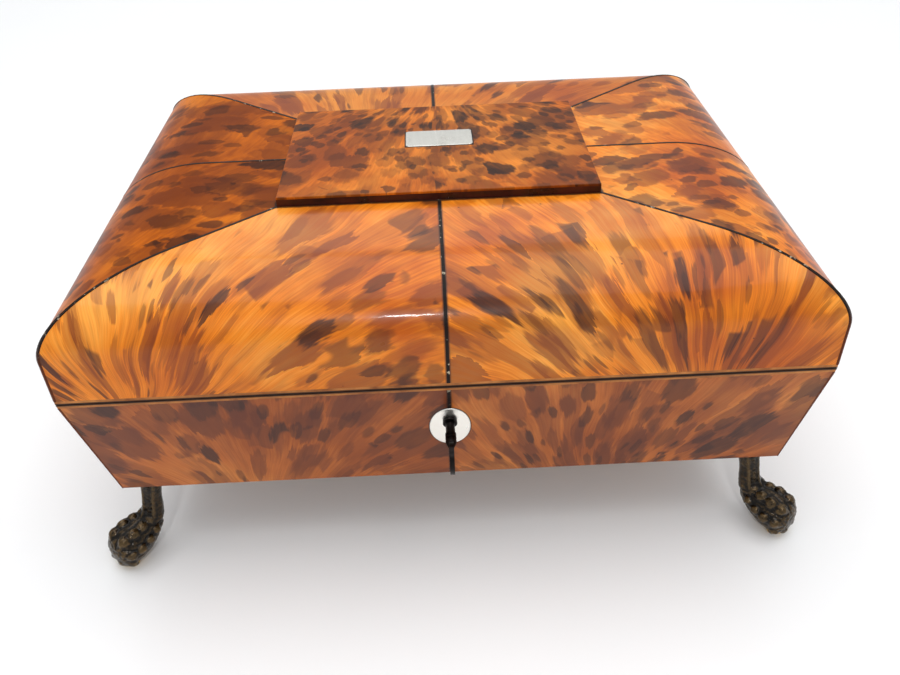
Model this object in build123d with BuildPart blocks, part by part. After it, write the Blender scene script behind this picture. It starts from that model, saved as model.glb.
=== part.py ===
from build123d import *
import os
from math import atan, cos, hypot, sin

# An early nineteenth century sewing box: a tapered case on four cast paw feet, a hinged
# cushion-shaped lid with a raised plateau, tortoiseshell panels divided by strings, a lock
# with its key, and a lift-out tray. Millimetres, +Z up, the table at z = 0, the front
# towards -Y and the middle of the case on the Z axis.

os.makedirs("parts", exist_ok=True)

# Case outside
seam_width = 290.0
seam_depth = 218.0
side_splay = 9.0
front_splay = 8.5
case_height = 55.0
foot_height = 37.0

# Lid outside
lid_gap = 0.4
lid_side_height = 20.0
shoulder_rise = 23.5
shoulder_run = 43.0
plateau_width = 130.0
plateau_depth = 88.0
plateau_height = 4.0

# Boards, panels and strings
case_wall = 9.0
lid_wall = 10.0
bottom_thickness = 6.0
top_board_thickness = 8.0
veneer = 1.0
veneer_edge_round = 0.4
band_height = 1.6
base_edge_height = 2.0
base_edge_chamfer = 3.0
base_edge_width = 5.0
string_width = 1.2
string_depth = 0.7
string_proud = 0.1

# Cartouche and escutcheon
cartouche_width = 29.5
cartouche_depth = 16.0
cartouche_corner = 1.6
cartouche_setback = 6.5
cartouche_shift = 1.4
cartouche_thickness = 0.6
cartouche_proud = 0.3
escutcheon_half_width = 8.0
escutcheon_half_height = 10.7
escutcheon_drop = 23.0
escutcheon_thickness = 0.9
escutcheon_proud = 0.3
escutcheon_edge_round = 0.24
inlay_clearance = 0.05

# Key, measured outwards from the case's front face along the keyhole
keyhole_rise = 3.6
keyhole_radius = 2.1
keyhole_slot_width = 2.6
keyhole_slot_length = 6.4
keyhole_spare = 0.2
shank_radius = 1.8
shank_length = 10.2
collar_radius = 2.8
collar_start = 0.6
collar_thickness = 1.1
shank_band_radius = 2.1
shank_band_width = 0.8
shank_band_places = (6.8, 8.4)
neck_length = 3.4
neck_tip_radius = 1.0
bow_width = 14.0
bow_length = 11.0
bow_wire = 1.8
bit_radius = 5.8
bit_thickness = 2.0
bit_step_cut = 0.8
key_bore_radius = 0.83

# Lock, measured inwards from the front face and down the face from the seam
lock_cover = 4.0
lock_shell = 1.0
lock_plate_thickness = 1.0
lock_half_width = 22.0
lock_depth_down = 28.0
lock_roof_drop = 3.0
lock_plate_margin = 5.0
lock_clearance = 0.1
drill_pin_radius = 0.75
bolt_throw = 5.0
bolt_thickness = 2.2
bolt_clearance = 0.6
bolt_bar_height = 3.2
bolt_bar_drop = 9.3
prong_thickness = 1.8
prong_reach = 2.6
prong_post = 2.5
talon_width = 2.0
talon_height = 3.0
talon_places = (-4.0, 9.0)
spring_thickness = 0.5
spring_length = 9.0
spring_height = 2.4

# Link plate under the lid's front rail, with two hooks that enter the lock
hook_places = (-13.0, 5.0)
hook_stem = 3.0
hook_reach = 2.5
hook_foot = 2.0
hook_drop = 6.8
hook_thickness = 1.8
hook_clearance = 0.3
link_half_width = 22.0
link_width = 5.6
link_thickness = 1.5
link_screw_place = 18.5

# Hinges
hinge_place = 85.0
hinge_length = 40.0
hinge_middle = 13.8
knuckle_gap = 0.2
knuckle_radius = 2.4
hinge_standoff = 0.3
hinge_bore_radius = 0.85
hinge_pin_radius = 0.8
pin_head_radius = 1.4
pin_head_length = 0.8
leaf_thickness = 1.2
leaf_inset = 9.0
leaf_clearance = 0.1
hinge_screw_spacing = 14.0
hinge_screw_setback = 3.6
hinge_middle_screw_setback = 5.0

# Countersunk screws
screw_radius = 1.0
screw_head_radius = 2.0
screw_length = 6.0
screw_slot = 0.5
screw_clearance = 0.05

# Feet, along the diagonal outwards from the leg. A leg section is its drop from the leg's
# top, its distance outwards and its radius. A paw section is its distance outwards, its
# height above the table and its radius. A toe is its place across the paw and its radius.
foot_inset_x = 9.5
foot_inset_y = 9.5
leg_sections = (
    (0.0, 0.0, 6.2),
    (3.0, -0.3, 4.7),
    (9.0, -1.2, 4.1),
    (15.0, -0.9, 4.5),
    (21.0, 1.2, 5.6),
    (27.0, 5.6, 5.0),
)
paw_sections = (
    (1.0, 7.0, 4.5),
    (5.0, 8.6, 8.2),
    (12.0, 10.0, 10.0),
    (19.0, 8.8, 9.4),
    (23.5, 6.5, 7.0),
)
toe_row = ((-7.6, 3.6), (-2.6, 4.1), (2.6, 4.1), (7.6, 3.6))
toe_forward = 22.0
toe_curve = 0.035
toe_sink = 0.3
knuckle_back = 4.2
knuckle_height = 13.0
knuckle_shrink = 0.8
foot_stud_radius = 2.2
foot_stud_length = 4.5
foot_stud_clearance = 0.05

# Lining, ledges and lift-out tray
lining_thickness = 0.6
lining_rim_drop = 1.0
ledge_width = 3.5
ledge_height = 3.0
ledge_length = 150.0
tray_gap = 1.0
tray_height = 24.0
tray_top_drop = 2.0
tray_base_thickness = 2.5
tray_wall = 3.0
partition_thickness = 2.0
partition_drop = 2.0
glue_line = 0.1
middle_row_depth = 60.0
middle_cell_width = 84.0
outer_cell_width = 82.0
grip_radius = 8.0
tray_lid_thickness = 2.4
tray_lid_drop = 8.0
tray_lid_clearance = 0.4
rest_strip = 2.0
knob_radius = 2.3
knob_neck_radius = 1.3
knob_foot_radius = 2.3
knob_foot_height = 0.9
knob_height = 5.4
knob_tenon_radius = 1.0
knob_clearance = 0.05
pincushion_clearance = 0.6
pincushion_crown = 2.5
pincushion_waist = 1.2
pincushion_corner = 6.0
pincushion_shoulder_share = 0.8
pincushion_crown_share = 0.35
lid_pad_thickness = 3.5
lid_pad_clearance = 0.3
lid_pad_round = 1.5

# Worked out from the sizes above
base_width = seam_width - 2 * side_splay
base_depth = seam_depth - 2 * front_splay
seam_z = foot_height + case_height
lid_foot_z = seam_z + lid_gap
shoulder_z = seam_z + lid_side_height
lid_flat_z = shoulder_z + shoulder_rise
plateau_top_z = lid_flat_z + plateau_height
run_x = (seam_width - plateau_width) / 2
run_y = (seam_depth - plateau_depth) / 2
shoulder_run_y = shoulder_run * run_y / run_x
hip_run = hypot(run_x, run_y)
shoulder_run_hip = shoulder_run * hip_run / run_x
inner_inset = veneer + case_wall
lining_inset = inner_inset + lining_thickness
tray_inset = lining_inset + tray_gap
tray_inner_inset = tray_inset + tray_wall
floor_z = foot_height + bottom_thickness
tray_top_z = seam_z - tray_top_drop
tray_foot_z = tray_top_z - tray_height
tray_floor_z = tray_foot_z + tray_base_thickness
partition_top_z = tray_top_z - partition_drop
tray_lid_z = tray_top_z - tray_lid_drop - tray_lid_thickness
ceiling_z = lid_flat_z - veneer - top_board_thickness
reach = seam_width
standing = (Align.CENTER, Align.CENTER, Align.MIN)
hanging = (Align.CENTER, Align.CENTER, Align.MAX)
key_drop = escutcheon_drop - keyhole_rise
lock_back = inner_inset
lock_inside = lock_back - lock_plate_thickness
lock_middle = (lock_cover + lock_shell + lock_inside) / 2
slope = atan(front_splay / case_height)
hinge_y = seam_depth / 2 + hinge_standoff + knuckle_radius
hinge_z = seam_z + lid_gap / 2
leaf_inner_y = seam_depth / 2 - leaf_inset
notch_half_length = hinge_length / 2 + leaf_clearance
notch_depth = leaf_thickness + leaf_clearance
foot_x = base_width / 2 - foot_inset_x
foot_y = base_depth / 2 - foot_inset_y

# The front face: local x runs right, local y up the slope, local z out of the face
front_face = Plane(
    origin=(0, -seam_depth / 2, seam_z),
    x_dir=(1, 0, 0),
    z_dir=(0, -cos(slope), -sin(slope)),
)


def case_half(z, inset):
    share = (z - foot_height) / case_height
    half_x = (base_width + (seam_width - base_width) * share) / 2 - inset
    half_y = (base_depth + (seam_depth - base_depth) * share) / 2 - inset
    return half_x, half_y


def case_block(low_z, high_z, inset):
    """The tapered body of the case between two heights, drawn in on all four sides."""
    low_x, low_y = case_half(low_z, inset)
    high_x, high_y = case_half(high_z, inset)
    with BuildPart() as block:
        with BuildSketch(Plane.XZ):
            Polygon(
                (-low_x, low_z), (low_x, low_z), (high_x, high_z), (-high_x, high_z), align=None
            )
        extrude(amount=reach, both=True)
        with BuildSketch(Plane.YZ):
            Polygon(
                (-low_y, low_z), (low_y, low_z), (high_y, high_z), (-high_y, high_z), align=None
            )
        extrude(amount=reach, both=True, mode=Mode.INTERSECT)
    return block.part


def case_ring(low_z, high_z, outer_inset, inner):
    """A tapered frame between two heights and two insets."""
    outer_block = case_block(low_z, high_z, outer_inset)
    inner_block = case_block(low_z, high_z, inner)
    with BuildPart() as ring:
        add(outer_block)
        add(inner_block, mode=Mode.SUBTRACT)
    return ring.part


def wedge(side, near, far, trim):
    """The plan region of one side, between the two mitres that run from near to far."""
    near_x, near_y = near
    far_x, far_y = far
    way = -1 if side in ("front", "left") else 1
    with BuildPart() as region:
        with BuildSketch():
            if side in ("front", "back"):
                Polygon(
                    (-near_x, way * near_y),
                    (near_x, way * near_y),
                    (far_x, way * far_y),
                    (-far_x, way * far_y),
                    align=None,
                )
            else:
                Polygon(
                    (way * near_x, -near_y),
                    (way * near_x, near_y),
                    (way * far_x, far_y),
                    (way * far_x, -far_y),
                    align=None,
                )
            if trim > 0:
                offset(amount=-trim, kind=Kind.INTERSECTION)
        extrude(amount=reach)
    return region.part


def wall_wedge(side, trim=0.0):
    """The region between mitres at 45 degrees through the seam's corners."""
    spare = seam_depth / 4
    near = (seam_width / 2 - spare, seam_depth / 2 - spare)
    far = (seam_width / 2 + spare, seam_depth / 2 + spare)
    return wedge(side, near, far, trim)


def hip_wedge(side, trim=0.0):
    """The region between the hips, which run from the plateau's corners to the seam's."""
    near = (plateau_width / 2 - run_x / 8, plateau_depth / 2 - run_y / 8)
    far = (seam_width / 2 + run_x / 8, seam_depth / 2 + run_y / 8)
    return wedge(side, near, far, trim)


def corner_strips(width):
    """Diagonal strips over the four mitres, for a sketch in plan."""
    for way in (-1, 1):
        with Locations(
            (seam_width / 2, way * seam_depth / 2), (-seam_width / 2, -way * seam_depth / 2)
        ):
            Rectangle(seam_depth / 2, width, rotation=way * 45)


def span_box(low, high, plane=Plane.XY, mode=Mode.ADD):
    """A box between two opposite corners, given in a plane's own directions."""
    size = [b - a for a, b in zip(low, high)]
    middle = [(a + b) / 2 for a, b in zip(low, high)]
    with Locations(plane.location * Location(middle)):
        Box(*size, mode=mode)


def save(piece, label):
    piece.part.label = label
    export_step(piece.part, f"parts/{label}.step")


def screw_planes_up(height, places):
    return [Plane(origin=(x, y, height), z_dir=(0, 0, 1)) for x, y in places]


def screw_planes_down(height, places):
    return [Plane(origin=(x, y, height), z_dir=(0, 0, -1)) for x, y in places]


def add_screws(planes):
    """Slotted countersunk screws whose heads lie flush in the given planes."""
    with Locations(*[plane.location for plane in planes]):
        Cylinder(screw_radius, screw_length, align=hanging)
        Cone(screw_radius, screw_head_radius, screw_head_radius - screw_radius, align=hanging)
        Box(2 * screw_head_radius, screw_slot, screw_slot, align=hanging, mode=Mode.SUBTRACT)


def cut_screw_holes(planes):
    with Locations(*[plane.location for plane in planes]):
        CounterSinkHole(
            radius=screw_radius + screw_clearance,
            counter_sink_radius=screw_head_radius + screw_clearance,
            depth=screw_length + screw_clearance,
            counter_sink_angle=90,
        )


def keyhole_outline(plane, spare):
    """A round hole over a narrower slot that lets the bit through."""
    with BuildSketch(plane) as outline:
        with Locations((0, -key_drop)):
            Circle(keyhole_radius + spare)
        with Locations((0, -key_drop)):
            Rectangle(
                keyhole_slot_width + 2 * spare,
                keyhole_slot_length + spare,
                align=(Align.CENTER, Align.MAX),
            )
    return outline.sketch


def escutcheon_oval(spare):
    return Ellipse(escutcheon_half_width + spare, escutcheon_half_height + spare)


def outward_plane(origin, direction):
    """An upright plane whose local x runs outwards and whose local y runs up."""
    out = Vector(*direction).normalized()
    return Plane(origin=origin, x_dir=out, z_dir=out.cross(Vector(0, 0, 1)))


def cushion_section(plane, run, arc_run, inner, outer, low_z):
    """The cushion's section from the plateau to the seam, between two depths."""
    flat = run - arc_run
    with BuildSketch(plane) as section:
        with BuildLine():
            Line((0, lid_flat_z + outer), (flat, lid_flat_z + outer))
            EllipticalCenterArc(
                (flat, shoulder_z), arc_run + outer, shoulder_rise + outer, start_angle=0, arc_size=90
            )
            Line((run + outer, shoulder_z), (run + outer, low_z))
            Line((run + outer, low_z), (run - inner, low_z))
            Line((run - inner, low_z), (run - inner, shoulder_z))
            EllipticalCenterArc(
                (flat, shoulder_z), arc_run - inner, shoulder_rise - inner, start_angle=0, arc_size=90
            )
            Line((flat, lid_flat_z - inner), (0, lid_flat_z - inner))
            Line((0, lid_flat_z - inner), (0, lid_flat_z + outer))
        make_face()
    return section.sketch


def moulding_section(plane, run, arc_run):
    """A lid moulding's section: curved outside, flat under, sloping to the top board."""
    flat = run - arc_run
    with BuildSketch(plane) as section:
        with BuildLine():
            Line((0, lid_flat_z - veneer), (flat, lid_flat_z - veneer))
            EllipticalCenterArc(
                (flat, shoulder_z), arc_run - veneer, shoulder_rise - veneer, start_angle=0, arc_size=90
            )
            Line((run - veneer, shoulder_z), (run - veneer - lid_wall, shoulder_z))
            Line((run - veneer - lid_wall, shoulder_z), (0, ceiling_z))
            Line((0, ceiling_z), (0, lid_flat_z - veneer))
        make_face()
    return section.sketch


side_planes = {
    "front": (outward_plane((0, -plateau_depth / 2, 0), (0, -1, 0)), run_y, shoulder_run_y),
    "back": (outward_plane((0, plateau_depth / 2, 0), (0, 1, 0)), run_y, shoulder_run_y),
    "left": (outward_plane((-plateau_width / 2, 0, 0), (-1, 0, 0)), run_x, shoulder_run),
    "right": (outward_plane((plateau_width / 2, 0, 0), (1, 0, 0)), run_x, shoulder_run),
}
hip_planes = [
    outward_plane((x * plateau_width / 2, y * plateau_depth / 2, 0), (x * run_x, y * run_y, 0))
    for x in (-1, 1)
    for y in (-1, 1)
]

hinge_screw_places = [
    (hinge + step * hinge_screw_spacing, leaf_inner_y + setback)
    for hinge in (-hinge_place, hinge_place)
    for step, setback in (
        (-1, hinge_screw_setback),
        (0, hinge_middle_screw_setback),
        (1, hinge_screw_setback),
    )
]
case_hinge_screws = screw_planes_up(seam_z, hinge_screw_places)
lid_hinge_screws = screw_planes_down(lid_foot_z, hinge_screw_places)
link_y = -seam_depth / 2 + lock_middle + bolt_clearance
link_screws = screw_planes_down(
    lid_foot_z, [(-link_screw_place, link_y), (link_screw_place, link_y)]
)
lock_screws = [
    Plane(
        origin=front_face.from_local_coords((x, y, -lock_back)),
        x_dir=(1, 0, 0),
        z_dir=(0, cos(slope), sin(slope)),
    )
    for x in (-lock_half_width - lock_plate_margin / 2, lock_half_width + lock_plate_margin / 2)
    for y in (-lock_depth_down, -lock_roof_drop - screw_head_radius)
]

# Bottom board, let into the base edging
board_upper = case_block(foot_height + base_edge_height, floor_z, veneer)
board_lower = case_block(foot_height, foot_height + base_edge_height, base_edge_width)
with BuildPart() as bottom_board:
    add(board_upper)
    add(board_lower)
    with Locations((0, 0, foot_height)):
        with Locations(*[(x * foot_x, y * foot_y) for x in (-1, 1) for y in (-1, 1)]):
            Cylinder(
                foot_stud_radius + foot_stud_clearance,
                foot_stud_length + foot_stud_clearance,
                align=standing,
                mode=Mode.SUBTRACT,
            )
save(bottom_board, "bottom_board")

# Dark edging round the underside, cut back to a chamfer
edge_half = case_half(foot_height + base_edge_height, 0)
with BuildPart() as base_edging:
    with BuildSketch(Plane.XZ):
        Polygon(
            (-edge_half[0] + base_edge_chamfer, foot_height),
            (edge_half[0] - base_edge_chamfer, foot_height),
            (edge_half[0], foot_height + base_edge_height),
            (-edge_half[0], foot_height + base_edge_height),
            align=None,
        )
    extrude(amount=reach, both=True)
    with BuildSketch(Plane.YZ):
        Polygon(
            (-edge_half[1] + base_edge_chamfer, foot_height),
            (edge_half[1] - base_edge_chamfer, foot_height),
            (edge_half[1], foot_height + base_edge_height),
            (-edge_half[1], foot_height + base_edge_height),
            align=None,
        )
    extrude(amount=reach, both=True, mode=Mode.INTERSECT)
    add(board_lower, mode=Mode.SUBTRACT)
save(base_edging, "base_edging")

# Four mitred walls; the front one holds the lock and the back one the hinges
wall_ring = case_ring(floor_z, seam_z, veneer, inner_inset)
for side in ("front", "back", "left", "right"):
    region = wall_wedge(side)
    with BuildPart() as wall:
        add(wall_ring)
        add(region, mode=Mode.INTERSECT)
        if side == "front":
            span_box(
                (-lock_half_width - lock_clearance, -lock_depth_down - lock_clearance, -reach),
                (lock_half_width + lock_clearance, reach, -lock_cover),
                front_face,
                Mode.SUBTRACT,
            )
            span_box(
                (
                    -lock_half_width - lock_plate_margin - lock_clearance,
                    -lock_depth_down - lock_plate_margin / 2 - lock_clearance,
                    -reach,
                ),
                (lock_half_width + lock_plate_margin + lock_clearance, reach, -lock_inside),
                front_face,
                Mode.SUBTRACT,
            )
            extrude(keyhole_outline(front_face, keyhole_spare), amount=-lock_back, mode=Mode.SUBTRACT)
            cut_screw_holes(lock_screws)
        if side == "back":
            for hinge in (-hinge_place, hinge_place):
                span_box(
                    (
                        hinge - notch_half_length,
                        leaf_inner_y - leaf_clearance,
                        seam_z - leaf_thickness,
                    ),
                    (hinge + notch_half_length, reach, seam_z + leaf_clearance),
                    mode=Mode.SUBTRACT,
                )
            cut_screw_holes(case_hinge_screws)
    save(wall, f"{side}_wall")

# Tortoiseshell panels of the case, with room for the strings between them
panel_low_z = foot_height + base_edge_height
panel_high_z = seam_z - band_height
panel_ring = case_ring(panel_low_z, panel_high_z, 0, veneer)


def build_case_panel(label, side, half):
    """One side's panel, or one half of it to the left (-1) or right (1) of the string."""
    region = wall_wedge(side, string_width / 2)
    with BuildPart() as panel:
        add(panel_ring)
        add(region, mode=Mode.INTERSECT)
        if half is not None:
            span_box(
                (-string_width / 2, -reach, 0), (string_width / 2, reach, reach), mode=Mode.SUBTRACT
            )
        if half in (-1, 1):
            split(bisect_by=Plane.YZ, keep=Keep.TOP if half > 0 else Keep.BOTTOM)
        if side == "front":
            with BuildSketch(front_face):
                with Locations((0, -escutcheon_drop)):
                    escutcheon_oval(inlay_clearance)
            extrude(amount=veneer * 2, both=True, mode=Mode.SUBTRACT)
    save(panel, label)


build_case_panel("case_panel_front_left", "front", -1)
build_case_panel("case_panel_front_right", "front", 1)
build_case_panel("case_panels_back", "back", 0)
build_case_panel("case_panel_left", "left", None)
build_case_panel("case_panel_right", "right", None)

# Dark strings: the front and back middles and the four corners
string_ring = case_ring(panel_low_z, panel_high_z, -string_proud, string_depth)
with BuildPart() as case_strings:
    with BuildSketch():
        Rectangle(string_width, 2 * reach)
        corner_strips(string_width)
    extrude(amount=reach)
    add(string_ring, mode=Mode.INTERSECT)
    with BuildSketch(front_face):
        with Locations((0, -escutcheon_drop)):
            escutcheon_oval(inlay_clearance)
    extrude(amount=veneer * 2, both=True, mode=Mode.SUBTRACT)
save(case_strings, "case_strings")

# Pale bands that edge the case's rim and the lid's foot
case_band_ring = case_ring(panel_high_z, seam_z, 0, veneer)
with BuildPart() as case_band:
    add(case_band_ring)
    for hinge in (-hinge_place, hinge_place):
        span_box(
            (hinge - notch_half_length, 0, seam_z - notch_depth),
            (hinge + notch_half_length, reach, seam_z + leaf_clearance),
            mode=Mode.SUBTRACT,
        )
save(case_band, "case_band")

with BuildPart() as lid_band:
    with BuildSketch(Plane.XY.offset(lid_foot_z)):
        Rectangle(seam_width, seam_depth)
        Rectangle(seam_width - 2 * veneer, seam_depth - 2 * veneer, mode=Mode.SUBTRACT)
    extrude(amount=band_height)
    for hinge in (-hinge_place, hinge_place):
        span_box(
            (hinge - notch_half_length, 0, lid_foot_z - leaf_clearance),
            (hinge + notch_half_length, reach, lid_foot_z + notch_depth),
            mode=Mode.SUBTRACT,
        )
save(lid_band, "lid_band")

# Cast feet: a slim leg that curves out into a knuckled paw
for side_y, name_y in ((-1, "front"), (1, "back")):
    for side_x, name_x in ((-1, "left"), (1, "right")):
        out = Vector(side_x, side_y, 0).normalized()
        across = Vector(0, 0, 1).cross(out)
        leg_top = Vector(side_x * foot_x, side_y * foot_y, foot_height)
        table_point = Vector(side_x * foot_x, side_y * foot_y, 0)
        with BuildPart() as foot:
            for drop, forward, size in leg_sections:
                section_middle = leg_top + out * forward - Vector(0, 0, drop)
                with BuildSketch(Plane(origin=section_middle, x_dir=out, z_dir=(0, 0, 1))):
                    Circle(size)
            loft()
            for forward, height, size in paw_sections:
                section_middle = table_point + out * forward + Vector(0, 0, height)
                with BuildSketch(Plane(origin=section_middle, x_dir=across, z_dir=out)):
                    Circle(size)
            loft()
            for place, size in toe_row:
                forward = toe_forward - toe_curve * place**2
                toe = table_point + out * forward + across * place
                with Locations(toe + Vector(0, 0, size - toe_sink)):
                    Sphere(size)
                with Locations(toe - out * knuckle_back + Vector(0, 0, knuckle_height)):
                    Sphere(size * knuckle_shrink)
            span_box((-reach, -reach, -foot_height), (reach, reach, 0), mode=Mode.SUBTRACT)
            with Locations(leg_top):
                Cylinder(
                    foot_stud_radius, foot_stud_length, align=standing
                )
        save(foot, f"foot_{name_y}_{name_x}")

# Paper lining on the floor and walls, cut away round the lock plate
lining_top_z = seam_z - lining_rim_drop
lining_outer = case_block(floor_z, lining_top_z, inner_inset)
lining_inner = case_block(floor_z + lining_thickness, lining_top_z, lining_inset)
with BuildPart() as case_lining:
    add(lining_outer)
    add(lining_inner, mode=Mode.SUBTRACT)
    span_box(
        (
            -lock_half_width - lock_plate_margin - lining_thickness,
            -lock_depth_down - lock_plate_margin,
            -lock_back - 2 * lining_thickness,
        ),
        (lock_half_width + lock_plate_margin + lining_thickness, reach, reach),
        front_face,
        Mode.SUBTRACT,
    )
save(case_lining, "case_lining")

# Two strips on the end walls that carry the tray
ledge_ring = case_ring(tray_foot_z - ledge_height, tray_foot_z, lining_inset, lining_inset + ledge_width)
with BuildPart() as tray_ledges:
    add(ledge_ring)
    with BuildSketch():
        Rectangle(2 * reach, ledge_length)
        Rectangle(base_width / 2, ledge_length, mode=Mode.SUBTRACT)
    extrude(amount=reach, mode=Mode.INTERSECT)
save(tray_ledges, "tray_ledges")

# Lock: a shallow brass case with slots in its roof for the lid's hooks
hook_slots = [
    (place - hook_stem / 2 - hook_clearance, place + hook_stem / 2 + hook_reach + hook_clearance)
    for place in hook_places
]
with BuildPart() as lock_case:
    span_box(
        (-lock_half_width, -lock_depth_down, -lock_inside),
        (lock_half_width, reach / 2, -lock_cover),
        front_face,
    )
    span_box((-reach, -reach, seam_z), (reach, reach, 2 * reach), mode=Mode.SUBTRACT)
    span_box(
        (-lock_half_width + lock_shell, -lock_depth_down + lock_shell, -lock_inside),
        (lock_half_width - lock_shell, -lock_roof_drop, -lock_cover - lock_shell),
        front_face,
        Mode.SUBTRACT,
    )
    for low_x, high_x in hook_slots:
        span_box(
            (low_x, link_y - hook_thickness / 2 - hook_clearance, seam_z - hook_drop - hook_clearance),
            (high_x, link_y + hook_thickness / 2 + hook_clearance, seam_z),
            mode=Mode.SUBTRACT,
        )
    shell_outline = keyhole_outline(front_face.offset(-lock_cover - 2 * lock_shell), 0)
    extrude(shell_outline, amount=3 * lock_shell, mode=Mode.SUBTRACT)
save(lock_case, "lock_case")

with BuildPart() as lock_plate:
    span_box(
        (-lock_half_width - lock_plate_margin, -lock_depth_down - lock_plate_margin / 2, -lock_back),
        (lock_half_width + lock_plate_margin, reach / 2, -lock_inside),
        front_face,
    )
    span_box((-reach, -reach, seam_z), (reach, reach, 2 * reach), mode=Mode.SUBTRACT)
    with BuildSketch(front_face.offset(-lock_inside)):
        with Locations((0, -key_drop)):
            Circle(drill_pin_radius)
    extrude(amount=lock_inside - lock_cover - lock_shell)
    cut_screw_holes(lock_screws)
save(lock_plate, "lock_plate")

# Bolt: a bar with a prong for each hook, and two talons that the key's bit drives
bolt_low = -bolt_bar_drop - bolt_bar_height
prong_top = -lock_roof_drop - bolt_clearance
prong_start = hook_stem / 2 + hook_clearance + bolt_throw
bar_left = hook_places[0] - hook_stem / 2
bar_right = hook_places[1] + prong_start + prong_reach + prong_post
with BuildPart() as lock_bolt:
    with BuildSketch(front_face.offset(-lock_middle)):
        with Locations(((bar_left + bar_right) / 2, bolt_low)):
            Rectangle(bar_right - bar_left, bolt_bar_height, align=(Align.CENTER, Align.MIN))
        for place in hook_places:
            with Locations((place + prong_start + prong_reach, prong_top)):
                Rectangle(prong_post, prong_top - bolt_low, align=(Align.MIN, Align.MAX))
            with Locations((place + prong_start, prong_top)):
                Rectangle(prong_reach, prong_thickness, align=(Align.MIN, Align.MAX))
        with Locations(*[(place, bolt_low) for place in talon_places]):
            Rectangle(talon_width, talon_height, align=(Align.CENTER, Align.MAX))
    extrude(amount=bolt_thickness / 2, both=True)
save(lock_bolt, "lock_bolt")

# Leaf spring that bears up under the bolt's left end
spring_root = -lock_half_width + lock_shell
with BuildPart() as lock_spring:
    with BuildSketch(front_face.offset(-lock_middle)):
        with BuildLine():
            leaf_line = Line(
                (spring_root, bolt_low - spring_height),
                (spring_root + spring_length, bolt_low - spring_thickness),
            )
            offset(leaf_line, amount=spring_thickness / 2)
        make_face()
    extrude(amount=bolt_thickness / 2, both=True)
    span_box((-reach, -reach, -reach), (spring_root, reach, reach), front_face, Mode.SUBTRACT)
save(lock_spring, "lock_spring")

# Oval silver escutcheon
with BuildPart() as escutcheon:
    with BuildSketch(front_face.offset(escutcheon_proud)):
        with Locations((0, -escutcheon_drop)):
            escutcheon_oval(0)
    extrude(amount=-escutcheon_thickness)
    outer_rim = escutcheon.edges().sort_by(Axis((0, 0, 0), front_face.z_dir))[-1]
    fillet(outer_rim, escutcheon_edge_round)
    extrude(keyhole_outline(front_face.offset(-veneer), 0), amount=2 * veneer, mode=Mode.SUBTRACT)
save(escutcheon, "escutcheon")

# Key, pushed home with its bit down and its bow upright
key_axis_point = front_face.from_local_coords((0, -key_drop, 0))
key_out = front_face.z_dir
key_up = front_face.y_dir
key_side = Plane(origin=key_axis_point, x_dir=key_out, z_dir=key_out.cross(key_up))
key_tail = lock_inside - lock_clearance * 2
bow_middle = shank_length + neck_length + bow_length / 2 - bow_wire / 2
with BuildPart() as key:
    with BuildSketch(key_side):
        with BuildLine():
            Polyline(
                (-key_tail, 0),
                (-key_tail, shank_radius),
                (collar_start, shank_radius),
                (collar_start, collar_radius),
                (collar_start + collar_thickness, collar_radius),
                (collar_start + collar_thickness, shank_radius),
                (shank_length, shank_radius),
                (shank_length, shank_band_radius),
                (shank_length + shank_band_width, shank_band_radius),
                (shank_length + neck_length, neck_tip_radius),
                (shank_length + neck_length, 0),
                close=True,
            )
        make_face()
        for place in shank_band_places:
            with Locations((place, 0)):
                Rectangle(shank_band_width, shank_band_radius, align=(Align.MIN, Align.MIN))
    revolve(axis=Axis(key_axis_point, key_out))
    with BuildSketch(key_side):
        with Locations((bow_middle, 0)):
            Ellipse(bow_length / 2, bow_width / 2)
            Ellipse(bow_length / 2 - bow_wire, bow_width / 2 - bow_wire, mode=Mode.SUBTRACT)
    extrude(amount=bow_wire / 2, both=True)
    bit_start = -key_tail + lock_clearance
    bit_end = -lock_cover - lock_shell - bit_step_cut / 2
    with BuildSketch(key_side):
        with Locations(((bit_start + bit_end) / 2, 0)):
            Rectangle(bit_end - bit_start, bit_radius, align=(Align.CENTER, Align.MAX))
        with Locations(((bit_start + bit_end) / 2, -bit_radius)):
            Rectangle(
                bit_step_cut,
                2 * bit_step_cut,
                align=(Align.CENTER, Align.MIN),
                mode=Mode.SUBTRACT,
            )
    extrude(amount=bit_thickness / 2, both=True)
    with BuildSketch(Plane(origin=key_axis_point - key_out * key_tail, x_dir=(1, 0, 0), z_dir=key_out)):
        Circle(key_bore_radius)
    extrude(amount=key_tail - lock_cover, mode=Mode.SUBTRACT)
save(key, "key")


# Brass butt hinges: a leaf let into each edge and three knuckles behind the box
def add_leaf(hinge, low_z, knuckle_spans):
    """One hinge's leaf, its knuckles and their bore, at its place along the back edge."""
    span_box(
        (hinge - hinge_length / 2, leaf_inner_y, low_z),
        (hinge + hinge_length / 2, seam_depth / 2, low_z + leaf_thickness),
    )
    for start, end in knuckle_spans:
        span_box((hinge + start, leaf_inner_y, low_z), (hinge + end, hinge_y, low_z + leaf_thickness))
        with Locations(Location((hinge + start, hinge_y, hinge_z), (0, 90, 0))):
            Cylinder(knuckle_radius, end - start, align=standing)


def cut_knuckle_bores():
    for hinge in (-hinge_place, hinge_place):
        with Locations(Location((hinge, hinge_y, hinge_z), (0, 90, 0))):
            Cylinder(hinge_bore_radius, hinge_length + 2 * knuckle_gap, mode=Mode.SUBTRACT)


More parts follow.
